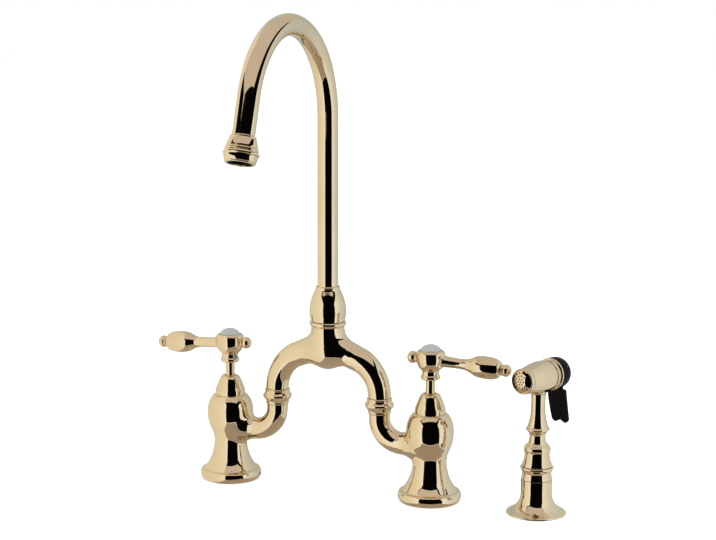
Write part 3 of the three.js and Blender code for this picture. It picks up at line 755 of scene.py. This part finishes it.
for tag, m in (("hot", shift(-VALVE_X, 0, 0)), ("cold", shift(VALVE_X, 0, 0) @ turn_z(180))):
    inv = np.linalg.inv(m)
    up = m @ shift(ARM_U, 0, 0)
    name = f"valve_body_{tag}"
    me = make_mesh(name, move(m, valve_shape[0]), valve_shape[1])
    me = combine(me, cuts=[
        # what stands below the deck plane, above the mouth, and round the spigot
        loose([(0, -9), (40, -9), (40, 0), (0, 0)], m, 96, bevel=0.001),
        loose([(0, 81.75), (17.5, 81.75), (17.5, 95), (0, 95)], m, 96, bevel=0.001),
        loose([(0, 83.7), (8.8, 83.7), (8.8, 77.0), (15, 77.0), (15, 99), (0, 99)], up, 96, bevel=0.001),
        # gasket recess, supply socket and cartridge bore
        loose([(11.6, -1), (24.4, -1), (24.4, 2.3), (11.6, 2.3)], m, 96, closed=True, bevel=0.001),
        loose([(0, -1), (9.0, -1), (9.0, 0), (8.6, 0.5), (8.6, 39), (5.4, 39), (5.4, 47), (13.6, 47), (13.6, 79),
               (0, 79)], m, 96, bevel=0.001)])
    me.name = name
    field_normals(me, valve_f, inv)
    add(name, me, name, "polished_brass")
    turned(f"deck_gasket_{tag}_ring", [(12.0, 0.3), (24.0, 0.3), (24.0, 2.0), (12.0, 2.0)], f"deck_gasket_{tag}",
           "rubber", m, closed=True, bevel=0.4)

    turned(f"bonnet_{tag}_cone", [
        (9.0, 68.4), (13.1, 68.4), (13.1, 82.15), (14.1, 82.15), (14.2, 84.0, 1), (14.1, 86.2, 1), (13.3, 89.0, 1),
        (12.0, 92.4, 1), (10.75, 95.4, 1), (9.65, 97.9, 1), (8.7, 99.4, 1), (7.4, 100.4, 1), (6.2, 100.8, 1),
        (5.5, 100.7), (5.15, 100.3), (5.15, 96.0), (9.0, 91.0)], f"bonnet_{tag}", "polished_brass", m, closed=True)
    turned(f"union_ring_{tag}_nut", [
        (9.15, 77.3), (10.45, 77.3), (10.9, 78.0, 1), (10.95, 78.8, 1), (10.6, 79.5), (11.0, 80.6, 1),
        (12.0, 82.2, 1), (13.3, 83.9, 1), (13.75, UNION_Z, 1), (13.5, 86.1, 1), (12.5, 87.7, 1), (11.75, 89.2, 1),
        (11.5, 90.2), (11.9, 90.7, 1), (11.85, 91.5, 1), (11.2, 92.05), (9.15, 92.1)],
        f"union_ring_{tag}", "polished_brass", up, closed=True)

    turned(f"stem_{tag}_rod", [
        (0, 56.3), (6.8, 56.3), (6.8, 59.0), (4.45, 59.3), (4.45, 120.9), (3.65, 120.9), (3.65, 131.4), (1.8, 131.4),
        (1.8, 123.5), (0, 123.5)], f"stem_{tag}", "polished_brass", m)
    name = f"handle_{tag}"
    me = make_mesh(name, move(m, handle_shape[0]), handle_shape[1])
    me = combine(me, cuts=[
        loose([(0, 131.8), (10.35, 131.8), (10.35, 150), (0, 150)], m, 96, bevel=0.001),
        loose([(0, 3), (2.2, 3), (2.2, 12), (0, 12)], m @ shift(0, 0, 119.0) @ aim(SCREW_DIR), 48, bevel=0.001),
        loose([(0, 108), (4.75, 108), (4.75, 121.2), (4.0, 121.2), (4.0, 133), (0, 133)], m, 96, bevel=0.001)])
    me.name = name
    field_normals(me, handle_f, inv)
    add(name, me, name, "polished_brass")
    turned(f"lever_tip_{tag}_knob", [
        (0, 67.45), (4.2, 67.45), (5.05, 67.9, 1), (5.3, 68.7, 1), (5.0, 69.5), (4.95, 69.6), (5.55, 70.6, 1),
        (5.7, 71.8, 1), (5.35, 73.4, 1), (4.3, 74.9, 1), (2.6, 76.0, 1), (0, 76.4)],
        f"lever_tip_{tag}", "polished_brass", m @ shift(0, 0, LEVER_Z) @ aim(LEVER_OUT), 64, bevel=0.15)
    turned(f"hub_ball_{tag}_knob", [
        (0, 14.75), (4.6, 14.75), (5.0, 15.1, 1), (5.55, 16.1, 1), (5.68, 17.4, 1), (5.35, 19.0, 1), (4.4, 20.6, 1),
        (2.6, 21.8, 1), (0, 22.2)],
        f"hub_ball_{tag}", "polished_brass", m @ shift(0, 0, LEVER_Z) @ aim(LEVER_IN), 64, bevel=0.15)
    turned(f"porcelain_button_{tag}_dome", [
        (0, 134.6), (10.0, 134.6), (10.0, 140.2), (9.75, 141.0, 1), (9.0, 142.1, 1), (7.8, 143.3, 1), (6.1, 144.5, 1),
        (4.1, 145.4, 1), (2.0, 145.9, 1), (0, 146.0)],
        f"porcelain_button_{tag}", "porcelain", m)
    screw = prism(hex_outline(1.9), 7.9, 10.0, m @ shift(0, 0, 119.0) @ aim(SCREW_DIR))
    P, T = profile([(0, 4.95), (1.85, 4.95), (1.85, 9.2), (0, 9.2)], bevel=0.25)
    v, n, q, t = lathe_arrays(P, T, 48)
    me = combine(make_mesh("set_screw", move(m @ shift(0, 0, 119.0) @ aim(SCREW_DIR), v), q, t), cuts=[screw])
    me.name = f"set_screw_{tag}_socket"
    add(me.name, crisp(me), f"set_screw_{tag}", "steel")

# ------------------------------------------------------------------ the bridge
LEG_RADII = [(0, 10.8), (12, 10.8), (18, 10.85), (24, 10.95), (30, 11.1), (36, 11.3), (42, 11.5), (48, 11.7),
             (54, 11.85), (60, 12.2), (66, 13.2), (72, 14.1), (78, 14.5), (110, 14.5)]
BRIDGE_HUB = [
    (0, 115.6), (2.4, 115.75, 1), (4.8, 116.3, 1), (8.0, 118.2, 1), (11.0, 120.8, 1), (13.4, 124.0, 1),
    (14.8, 128.5, 1), (15.5, 134.0, 1), (15.8, 142.0, 1), (15.65, 149.0, 1), (15.4, 155.6, 1), (15.4, 157.6),
    (0, 157.6)]


def bridge_field():
    c, s = leg_path()
    r = np.interp(s, *zip(*LEG_RADII))
    c = np.vstack([[c[0, 0], c[0, 1] - 6], c])
    r = np.r_[r[0], r]
    right = Pipe(c, r)
    hub = Turned(BRIDGE_HUB)

    def f(p):
        q = p.copy()
        q[:, 0] = np.sqrt(q[:, 0] ** 2 + 1e-6)   # the two legs are mirror images
        return blend(hub(p), right(q), 13.0)
    return f


bridge_f = bridge_field()
P, quads = shape_of(bridge_f, (-65, -18.6, 67), (65, 18.6, 160), 0.8)
spigot = [(0, 86.2), (8.8, 86.2), (8.8, 92.4), (16, 92.4), (16, 70), (0, 70)]
me = combine(make_mesh("bridge_casting", P, quads), cuts=[
    loose(spigot, shift(UNION_X, 0, 0), 96, bevel=0.001),
    loose(spigot, shift(-UNION_X, 0, 0), 96, bevel=0.001),
    loose([(0, 131.5), (12.2, 131.5), (12.2, 162), (0, 162)], None, 96, bevel=0.001)], joins=[
    loose([(0, 150.0), (15.0, 150.0), (15.42, 155.3), (15.9, 155.7), (16.7, 156.5, 1), (17.2, 157.6, 1),
           (17.3, 158.4, 1), (17.1, 159.3, 1), (16.6, 160.0, 1), (15.7, 160.3), (0, 160.3)], None, 128, bevel=0.1)])
me.name = "bridge_casting"
field_normals(me, bridge_f)
add("bridge_casting", me, "bridge", "polished_brass")

# ------------------------------------------------------- spout and its outlet
turned("spout_nut_vase", [
    (10.0, 150.2), (11.8, 150.2), (11.8, 160.65), (16.2, 160.65), (16.35, 161.6, 1), (16.6, 163.6, 1), (17.05, 166.6, 1),
    (17.2, 169.6, 1), (17.1, 172.6, 1), (16.6, 176.2, 1), (15.8, 179.6, 1), (14.8, 182.8, 1), (13.7, 185.6, 1),
    (12.6, 188.0, 1), (11.75, 189.9, 1), (11.4, 191.2), (11.55, 191.7, 1), (11.35, 192.7, 1), (10.8, 193.3, 1),
    (10.0, 193.4), (10.0, 186.0), (13.0, 180.0), (13.0, 166.0), (10.0, 162.0)],
    "spout_nut", "polished_brass", closed=True, segs=128)
s0, s1 = 143.5 - ARC_Z, ARC_LEN + TAIL
line = list(np.linspace(s0, 0, 60)) + list(np.linspace(0, ARC_LEN, 150))[1:] + list(np.linspace(ARC_LEN, s1, 14))[1:]
P = np.array([[TUBE_R, s] for s in line] + [[8.45, s] for s in line[::-1]])
T = np.array([[0, 1.0]] * len(line) + [[0, -1.0]] * len(line))
v, n, q, t = lathe_arrays(P, T, 96, True)
v, n = spout_bend(v, n)
me = make_mesh("spout_tube_gooseneck", v, q, t)
set_normals(me, n)
tube = add("spout_tube_gooseneck", me, "spout_tube", "polished_brass")

end, _ = spout_frame([ARC_LEN])
aerator = shift(*end[0]) @ turn_x(ARC_END)
turned("aerator_shell_rings", [
    (10.0, 32.9), (10.9, 33.0), (11.25, 33.6, 1), (11.2, 34.3, 1), (10.95, 34.7), (11.5, 35.6, 1), (12.2, 37.4, 1),
    (12.8, 39.6, 1), (13.15, 41.3, 1), (13.2, 42.1), (12.75, 42.5), (13.3, 42.9), (13.95, 43.4, 1), (14.3, 44.2, 1),
    (14.1, 45.0, 1), (13.7, 45.4), (13.75, 45.9), (14.5, 46.3, 1), (15.15, 47.0, 1), (15.35, 47.9, 1), (15.1, 48.7, 1),
    (14.5, 49.1), (14.15, 49.5), (14.15, 50.5, 1), (13.9, 52.2, 1), (13.35, 53.9, 1), (12.85, 54.6), (13.0, 55.0),
    (12.9, 55.6), (12.4, 55.9), (10.3, 55.9), (10.2, 54.9), (11.1, 54.9),
    (11.1, 39.2), (10.0, 38.6)], "aerator_shell", "polished_brass", aerator, closed=True, segs=96, bevel=0.14)
# insert: a disc of square cells under a rim
P, T = profile([(0, 43.0), (10.6, 43.0), (10.6, 54.5), (10.1, 54.5), (9.6, 53.9), (0, 53.9)], bevel=0.1)
v, n, q, t = lathe_arrays(P, T, 72)
cells = []
for i in range(-4, 5):
    for j in range(-4, 5):
        x, y = i * 2.1, j * 2.1
        if math.hypot(abs(x) + 0.8, abs(y) + 0.8) < 9.4:
            o = [(x - 0.78, y - 0.78), (x + 0.78, y - 0.78), (x + 0.78, y + 0.78), (x - 0.78, y + 0.78)]
            cells.append(prism(o, 45.5, 56.0, aerator))
me = combine(make_mesh("aerator_insert", move(aerator, v), q, t), cuts=cells)
me.name = "aerator_insert_grid"
add(me.name, crisp(me), "aerator_insert", "black_plastic")

# ------------------------------------------------------------------ side spray
base = shift(SPRAY_X, 0, 0)
turned("spray_base_flange", [
    (12.2, 0), (13.4, 0), (13.4, 2.2), (23.2, 2.2), (23.2, 0), (26.3, 0), (26.75, 0.25, 1), (26.9, 0.75, 1),
    (26.6, 1.4, 1), (25.6, 2.1, 1), (23.5, 3.2, 1), (20.9, 4.8, 1), (18.6, 6.8, 1), (16.7, 9.1, 1), (15.3, 11.7, 1),
    (14.4, 14.8, 1), (14.0, 18.4, 1), (13.9, 23.0, 1), (13.95, 28.0, 1), (14.05, 31.3), (12.2, 31.3)],
    "spray_base", "polished_brass", base, closed=True, segs=112)
turned("spray_deck_gasket_ring", [(13.8, 0.3), (22.8, 0.3), (22.8, 2.0), (13.8, 2.0)], "spray_deck_gasket", "rubber",
       base, closed=True, bevel=0.4)
turned("spray_guide_collar_cup", [
    (10.5, 18.0), (11.8, 18.0), (11.8, 31.6), (13.95, 31.6), (13.85, 32.6, 1), (13.5, 34.0, 1), (13.2, 35.6, 1),
    (13.1, 37.2, 1), (13.5, 39.0, 1), (14.5, 40.7, 1), (15.0, 41.7, 1), (14.95, 42.6, 1), (14.5, 43.3),
    (10.5, 43.3)], "spray_guide_collar", "polished_brass", base, closed=True, segs=112)
turned("hose_connector_thread", [
    (1.8, 3.6), (6.2, 3.6), (6.9, 4.4)] + [p for i in range(7) for p in (
        (7.6, 5.0 + i * 1.2), (7.6, 5.35 + i * 1.2), (6.95, 5.6 + i * 1.2), (6.95, 5.95 + i * 1.2))] + [
    (7.6, 13.6), (2.75, 13.6), (2.75, 20.0), (1.8, 20.0)], "hose_connector", "machined_brass", base, closed=True,
    segs=64, bevel=0.08)

wand = base @ turn_z(HEAD_TURN)
turned("spray_wand_body", [
    (3.2, 14.1), (7.3, 13.9), (8.0, 14.7), (8.0, 43.6), (13.7, 43.6), (13.9, 44.0), (13.3, 45.6, 1), (12.3, 48.3, 1),
    (11.55, 51.6, 1), (11.35, 54.6, 1), (11.6, 56.8, 1), (12.05, 58.6), (12.1, 59.4, 1), (11.75, 60.7, 1),
    (10.9, 62.0, 1), (9.7, 63.2, 1), (8.4, 64.9, 1), (7.55, 67.6, 1), (7.2, 70.2, 1), (7.4, 72.4, 1), (8.2, 74.2, 1),
    (9.3, 75.5, 1), (10.3, 76.4), (10.6, 76.9, 1), (10.6, 77.7, 1), (10.2, 78.2), (9.4, 79.4, 1), (8.35, 82.8, 1),
    (7.35, 86.6, 1), (6.7, 90.6, 1), (6.4, 96.0, 1), (6.35, 101.0, 1), (6.45, 105.5, 1), (6.75, 109.3),
    (4.9, 109.3), (4.9, 113.6), (3.2, 113.6)], "spray_wand", "polished_brass", wand, closed=True, segs=112, bevel=0.16)

head = wand @ shift(0, -HEAD_BACK, HEAD_Z)
back = aim((0, 1, 0))
rear = head @ shift(0, 3.8, 0)  # for the cap and lever, drawn 3.8 mm short of where they sit
BARREL = [
    (0, 4.3), (11.25, 4.3), (11.45, 4.9, 1), (11.7, 6.8, 1), (12.35, 11.0, 1), (13.3, 16.8, 1), (14.0, 23.2, 1),
    (14.3, 28.8, 1), (14.1, 32.8, 1), (13.6, 35.4, 1), (13.1, 36.3), (0, 36.3)]
NECK = [(0, -14.6), (6.75, -14.6), (6.9, -13.9, 1), (7.3, -12.4, 1), (8.0, -10.6, 1), (8.3, -8.0, 1), (8.3, -2), (0, -2)]


def head_field():
    barrel = Turned(BARREL, back, pad=7, h=0.2)
    neck = Turned(NECK, shift(0, HEAD_BACK, 0), pad=7, h=0.2)
    return lambda p: blend(barrel(p), neck(p), 3.0)


head_f = head_field()
P, quads = shape_of(head_f, (-16.5, 2.0, -17), (16.5, 42, 16.5), 0.5)
me = combine(make_mesh("spray_head_barrel", move(head, P), quads), cuts=[
    loose([(0, 3.0), (10.0, 3.0), (10.0, 4.5), (8.4, 4.5), (8.4, 14.0), (0, 14.0)], head @ back, 96, bevel=0.001),
    loose([(0, -16), (5.2, -16), (5.2, -10.3), (0, -10.3)], head @ shift(0, HEAD_BACK, 0), 64, bevel=0.001)])
me.name = "spray_head_barrel"
field_normals(me, head_f, np.linalg.inv(head))
add(me.name, me, "spray_head", "polished_brass")
# the turned band behind it: a groove, a plain band, a cove and a thin rim
turned("spray_head_band", [
    (12.4, 36.3), (12.7, 36.3), (12.7, 37.1), (13.35, 37.4), (13.5, 38.5, 1), (13.4, 39.5, 1), (13.1, 40.2),
    (12.8, 40.5), (12.85, 41.3, 1), (13.4, 41.8, 1), (14.25, 42.2, 1), (14.6, 43.0, 1), (14.45, 43.9, 1), (13.9, 44.3),
    (12.4, 44.3)], "spray_head", "polished_brass", head @ back, closed=True, segs=112, bevel=0.12)

turned("nozzle_ring_rim", [
    (10.1, 0.7), (10.25, 0.25), (10.7, 0.0), (11.15, 0.3, 1), (11.55, 1.2, 1), (11.7, 2.6, 1), (11.5, 3.8, 1),
    (11.1, 4.2), (10.5, 4.2), (10.5, 1.4), (10.1, 1.4)], "nozzle_ring", "polished_brass", head @ back, closed=True,
    segs=96, bevel=0.12)
# perforated face, domed
P, T = profile([(0, -1.7), (3.5, -1.35, 1), (6.6, -0.45, 1), (8.8, 0.55, 1), (9.8, 1.1), (9.8, 1.7), (10.2, 1.7), (10.2, 3.5),
                (0, 3.5)], bevel=0.1)
v, n, q, t = lathe_arrays(P, T, 96)
jets = []
for count, r, phase in ((1, 0.0, 0.0), (6, 2.6, 0.0), (11, 5.2, 0.3), (16, 7.8, 0.1)):
    for i in range(count):
        a = 2 * math.pi * (i + phase) / count
        jets.append(loose([(0, -2.5), (0.72, -2.5), (0.72, 4.2), (0, 4.2)],
                          head @ back @ shift(r * math.cos(a), r * math.sin(a), 0), 14, bevel=0.001))
me = combine(make_mesh("spray_face", move(head @ back, v), q, t), cuts=jets)
me.name = "spray_face_jets"
add(me.name, crisp(me, 25), "spray_face", "polished_brass")

# rear cap and thumb lever
P, T = profile([
    (0, 39.1), (11.8, 39.1), (11.8, 40.8), (14.0, 40.8), (14.4, 41.2), (14.5, 44.4, 1), (14.45, 47.4, 1),
    (14.2, 49.6, 1), (13.4, 52.2, 1),
    (12.0, 54.4, 1), (9.8, 56.2, 1), (7.0, 57.4, 1), (3.6, 58.0, 1), (0, 58.2)], bevel=0.25)
v, n, q, t = lathe_arrays(P, T, 96)
slot = prism([(-7.0, 43.9), (7.0, 43.9), (7.0, 52.5), (-7.0, 52.5)], -17.0, -8.0, rear)
pin = loose([(0, -16), (1.55, -16), (1.55, 16), (0, 16)], rear @ shift(0, 49.7, 6.3) @ aim((1, 0, 0)), 32, bevel=0.001)
me = combine(make_mesh("rear_cap", move(rear @ back, v), q, t), cuts=[slot, pin])
me.name = "rear_cap_shell"
add(me.name, crisp(me), "rear_cap", "black_plastic")


def lever_mesh():
    """Thumb lever: a curved paddle, thin at the edges, with a two-lobed end."""
    # stations down the lever: z, front t, back t, half width
    rows = [(-15.0, 48.0, 52.2, 9.4), (-17.0, 48.4, 52.8, 9.6), (-21.0, 49.4, 53.7, 9.6), (-26.0, 50.7, 54.8, 9.6),
            (-31.0, 52.0, 55.9, 9.5), (-36.0, 53.3, 57.0, 9.4), (-41.0, 54.8, 58.2, 9.2), (-44.0, 55.7, 59.0, 9.1)]
    zs = np.array([r[0] for r in rows])
    K, N = 44, 40
    verts, quads, tris = [], [], []
    zz = np.linspace(zs[0], zs[-1], K)
    f = np.interp(-zz, -zs, [r[1] for r in rows])
    b = np.interp(-zz, -zs, [r[2] for r in rows])
    w = np.interp(-zz, -zs, [r[3] for r in rows])
    for k in range(K):
        ring = []
        for i in range(N):
            a = 2 * math.pi * i / N
            e = 0.32
            cx = math.copysign(abs(math.cos(a)) ** e, math.cos(a))
            cy = math.copysign(abs(math.sin(a)) ** e, math.sin(a))
            x = w[k] * cx
            mid, half = (f[k] + b[k]) / 2, (b[k] - f[k]) / 2
            dish = 0.55 * (x / w[k]) ** 2 * min(1, (zs[0] - zz[k]) / 8)
            y = mid + half * cy - dish
            # the end drops in two lobes
            u = (zz[k] - zs[0]) / (zs[-1] - zs[0])
            lobe = (abs(math.sin(math.pi * x / w[k] * 0.98)) ** 0.8) * 2.6 * max(0.0, (u - 0.72) / 0.28) ** 1.5
            edge = max(0.0, abs(x / w[k]) - 0.82) / 0.18
            lobe -= 1.2 * edge ** 2 * max(0.0, (u - 0.8) / 0.2)
            ring.append((x, y, zz[k] - lobe))
        verts.append(ring)
    v = np.array(verts).reshape(-1, 3)
    for k in range(K - 1):
        for i in range(N):
            j = (i + 1) % N
            quads.append((k * N + i, k * N + j, (k + 1) * N + j, (k + 1) * N + i))
    # round the free end off and close both ends
    v = list(map(tuple, v))
    for sign, k in ((-1, K - 1), (1, 0)):
        prev = [k * N + i for i in range(N)]
        c = np.array([v[i] for i in prev]).mean(0)
        for inset, drop in (((0.90, 0.35), (0.74, 0.62), (0.5, 0.78)) if sign < 0 else ((0.5, 0.0),)):
            ring = []
            for i in range(N):
                p = np.array(v[k * N + i])
                p = np.array([c[0] + (p[0] - c[0]) * (0.97 if sign < 0 else 1) ** 1, c[1] + (p[1] - c[1]) * inset, p[2] + sign * drop])
                ring.append(len(v))
                v.append(tuple(p))
            for i in range(N):
                j = (i + 1) % N
                face = (prev[i], ring[i], ring[j], prev[j])
                quads.append(face if sign > 0 else face[::-1])
            prev = ring
        # a strip of quads across the flat middle
        h = N // 2
        for i in range(h):
            a0, a1 = prev[i], prev[i + 1] if i + 1 < N else prev[0]
            b0, b1 = prev[(N - i) % N], prev[(N - i - 1) % N]
            if len({a0, a1, b0, b1}) == 4:
                face = (a0, a1, b1, b0)
                quads.append(face if sign < 0 else face[::-1])
            elif len({a0, a1, b0, b1}) == 3:
                tri = [a0]
                for q in (a1, b1, b0):
                    if q not in tri:
                        tri.append(q)
                tris.append(tuple(tri) if sign < 0 else tuple(tri[::-1]))
    return np.array(v), np.array(quads), np.array(tris)


v, q, t = lever_mesh()
me = make_mesh("spray_lever", move(rear, v), q, t)
bpy.context.view_layer.update()
hub_plate = prism([(-6.3, 48.3), (6.3, 48.3), (6.3, 51.1), (-6.3, 51.1)], -16.2, 7.6, rear)
knuckle = loose([(0, -5.8), (2.6, -5.8), (2.6, 5.8), (0, 5.8)], rear @ shift(0, 49.7, 6.3) @ aim((1, 0, 0)), 40,
                bevel=0.2)
pin = loose([(0, -16), (1.55, -16), (1.55, 16), (0, 16)], rear @ shift(0, 49.7, 6.3) @ aim((1, 0, 0)), 32, bevel=0.001)
me = combine(me, cuts=[pin], joins=[hub_plate, knuckle])
me.name = "spray_lever_paddle"
add(me.name, crisp(me, 40), "spray_lever", "black_plastic")

# -------------------------------------------- finishes for the kept CAD nodes
for n, ob in frame["nodes"].items():
    if ob.hide_render:
        continue
    key = n.rsplit("_", 1)[0] if n.endswith(("_hot", "_cold")) else n
    mat = MATERIALS[KEPT.get(key, "steel")]
    ob.data.materials.clear()
    ob.data.materials.append(mat)

# ------------------------------------------------------- stage, light, camera
CAM_AZ, CAM_EL = 22.0, 8.78
CAM_DIST, CAM_F, CAM_TX, CAM_TZ, CAM_ROLL = 1503.09, 1637.58, 30.08, 209.87, 0.18

scene = bpy.context.scene
a, e, r = map(math.radians, (CAM_AZ, CAM_EL, CAM_ROLL))
back_dir = Vector((math.sin(a) * math.cos(e), -math.cos(a) * math.cos(e), math.sin(e)))
right = Vector((math.cos(a), math.sin(a), 0))
up_dir = back_dir.cross(right)
R = math.cos(r) * right + math.sin(r) * up_dir
U = -math.sin(r) * right + math.cos(r) * up_dir
eye = Vector(to_row(np.array([CAM_TX, 0, CAM_TZ]) + np.array(back_dir) * CAM_DIST))
cam = bpy.data.cameras.new("camera")
cam.sensor_width = 36.0
cam.lens = CAM_F * 36.0 / 716.0
cam.clip_start, cam.clip_end = 0.05, 50.0
cam_ob = bpy.data.objects.new("camera", cam)
cam_ob.matrix_world = Matrix((
    (R.x, U.x, back_dir.x, eye.x), (R.y, U.y, back_dir.y, eye.y), (R.z, U.z, back_dir.z, eye.z), (0, 0, 0, 1)))
scene.collection.objects.link(cam_ob)
scene.camera = cam_ob

scene.view_settings.view_transform = "Standard"
scene.view_settings.look = "None"
scene.view_settings.exposure = 0.0
scene.view_settings.gamma = 1.0

# floor: plain, pale
me = bpy.data.meshes.new("floor")
me.from_pydata([(-12, -12, 0), (12, -12, 0), (12, 12, 0), (-12, 12, 0)], [], [(0, 1, 2, 3)])
floor = bpy.data.objects.new("floor", me)
scene.collection.objects.link(floor)
mat, nt, b = new_material("floor_paper")
nt.links.new(ramp(nt, noise(nt, 3, 2.0), [(0.3, (0.86, 0.86, 0.86)), (0.7, (0.88, 0.88, 0.88))]), b.inputs["Base Color"])
b.inputs["Roughness"].default_value = 0.9
b.inputs["Specular IOR Level"].default_value = 0.0
b.inputs["Emission Color"].default_value = (1, 1, 1, 1)
b.inputs["Emission Strength"].default_value = 0.42
floor.data.materials.append(mat)
floor.visible_glossy = False

# The studio round the object: flat cards, a softbox and a board that only
# reflections see. Places are in metres from the spout's axis: r to the camera's
# right, f towards the camera, z up.
AXIS = Vector((-CENTRE_X * 0.001, -CENTRE_Y * 0.001, 0))
RIGHT = Vector((math.cos(a), math.sin(a), 0))
FRONT = Vector((math.sin(a), -math.cos(a), 0))


def place(r, f, z):
    return AXIS + RIGHT * r + FRONT * f + Vector((0, 0, z))


def card(name, corners, stops, along):
    """A glowing card: its colour runs along a direction between two distances."""
    me = bpy.data.meshes.new(name)
    me.from_pydata([tuple(place(*c)) for c in corners], [], [tuple(range(len(corners)))])
    ob = bpy.data.objects.new(name, me)
    scene.collection.objects.link(ob)
    mat = bpy.data.materials.new(name)
    mat.use_nodes = True
    nt = mat.node_tree
    nt.nodes.clear()
    tc = nt.nodes.new("ShaderNodeTexCoord")
    dot = nt.nodes.new("ShaderNodeVectorMath")
    dot.operation = "DOT_PRODUCT"
    nt.links.new(tc.outputs["Object"], dot.inputs[0])
    dot.inputs[1].default_value = along
    lo, hi = stops[0][0], stops[-1][0]
    d0 = along.dot(AXIS)
    where = math_node(nt, "DIVIDE", math_node(nt, "SUBTRACT", dot.outputs["Value"], d0 + lo), hi - lo)
    em = nt.nodes.new("ShaderNodeEmission")
    nt.links.new(ramp(nt, where, [((x - lo) / (hi - lo), c) for x, c in stops]), em.inputs["Color"])
    out = nt.nodes.new("ShaderNodeOutputMaterial")
    nt.links.new(em.outputs[0], out.inputs[0])
    me.materials.append(mat)
    for flag in ("camera", "diffuse", "transmission", "volume_scatter", "shadow"):
        setattr(ob, "visible_" + flag, False)
    return ob


UP = Vector((0, 0, 1))
card("card_left", [(-0.25, 0.445, -0.25), (-0.25, -0.65, -0.25), (-0.25, -0.65, 0.79), (-0.25, 0.0, 0.79), (-0.25, 0.18, 0.37),
                   (-0.25, 0.445, 0.33)],
     [(-0.65, (0.60, 0.59, 0.52)), (-0.3, (0.74, 0.70, 0.60)), (0.0, (0.86, 0.80, 0.67)), (0.2, (0.93, 0.88, 0.78)),
      (0.34, (1.0, 0.99, 0.97)), (0.445, (1.0, 1.0, 1.0))], FRONT)
card("card_right", [(0.42, 0.36, -0.25), (0.42, -0.65, -0.25), (0.42, -0.65, 0.79), (0.42, 0.43, 0.35)],
     [(-0.65, (0.52, 0.55, 0.55)), (-0.3, (0.60, 0.63, 0.65)), (0.0, (0.72, 0.74, 0.74)), (0.20, (0.86, 0.89, 0.90)),
      (0.34, (0.97, 1.0, 1.0)), (0.43, (1.0, 1.0, 1.0))], FRONT)
card("softbox", [(-0.62, 0.72, 0.8), (0.62, 0.72, 0.8), (0.62, -0.65, 0.8), (-0.62, -0.65, 0.8)],
     [(-0.65, (0.56, 0.54, 0.52)), (0.0, (0.62, 0.56, 0.53)), (0.72, (0.66, 0.59, 0.56))], FRONT)
card("backdrop", [(-1.1, -0.7, -0.2), (1.1, -0.7, -0.2), (1.1, -0.7, 0.9), (-1.1, -0.7, 0.9)],
     [(-1.1, (0.50, 0.53, 0.50)), (1.1, (0.50, 0.53, 0.50))], RIGHT)
card("board", [(-0.25, 0.45, -0.25), (0.42, 0.45, -0.25), (0.42, -0.65, -0.25), (-0.25, -0.65, -0.25)],
     [(-0.65, (0.48, 0.42, 0.37)), (0.0, (0.40, 0.34, 0.29)), (0.45, (0.36, 0.30, 0.255))], FRONT)
card("board_edge", [(-0.25, 0.451, -0.25), (0.42, 0.451, -0.25), (0.42, 0.451, -0.236), (-0.25, 0.451, -0.236)],
     [(-0.25, (0.95, 0.95, 0.92)), (0.42, (0.95, 0.95, 0.92))], RIGHT)

world = bpy.data.worlds.new("studio")
scene.world = world
world.use_nodes = True
nt = world.node_tree
nt.nodes.clear()
path = nt.nodes.new("ShaderNodeLightPath")
bg_seen, bg_soft, bg_dark = [nt.nodes.new("ShaderNodeBackground") for _ in range(3)]
bg_seen.inputs["Color"].default_value = (1, 1, 1, 1)
bg_soft.inputs["Color"].default_value = (0.62, 0.62, 0.62, 1)
bg_dark.inputs["Color"].default_value = (0.0018, 0.0018, 0.0018, 1)
out = nt.nodes.new("ShaderNodeOutputWorld")
seen, soft = nt.nodes.new("ShaderNodeMixShader"), nt.nodes.new("ShaderNodeMixShader")
nt.links.new(path.outputs["Is Glossy Ray"], soft.inputs[0])
nt.links.new(bg_soft.outputs[0], soft.inputs[1])
nt.links.new(bg_dark.outputs[0], soft.inputs[2])
nt.links.new(path.outputs["Is Camera Ray"], seen.inputs[0])
nt.links.new(soft.outputs[0], seen.inputs[1])
nt.links.new(bg_seen.outputs[0], seen.inputs[2])
nt.links.new(seen.outputs[0], out.inputs[0])

sun = bpy.data.lights.new("overhead", "SUN")
sun.energy = 1.6
sun.angle = math.radians(90)
sun_ob = bpy.data.objects.new("overhead", sun)
sun_ob.rotation_euler = (math.radians(12), math.radians(8), 0)
sun_ob.visible_glossy = False
scene.collection.objects.link(sun_ob)
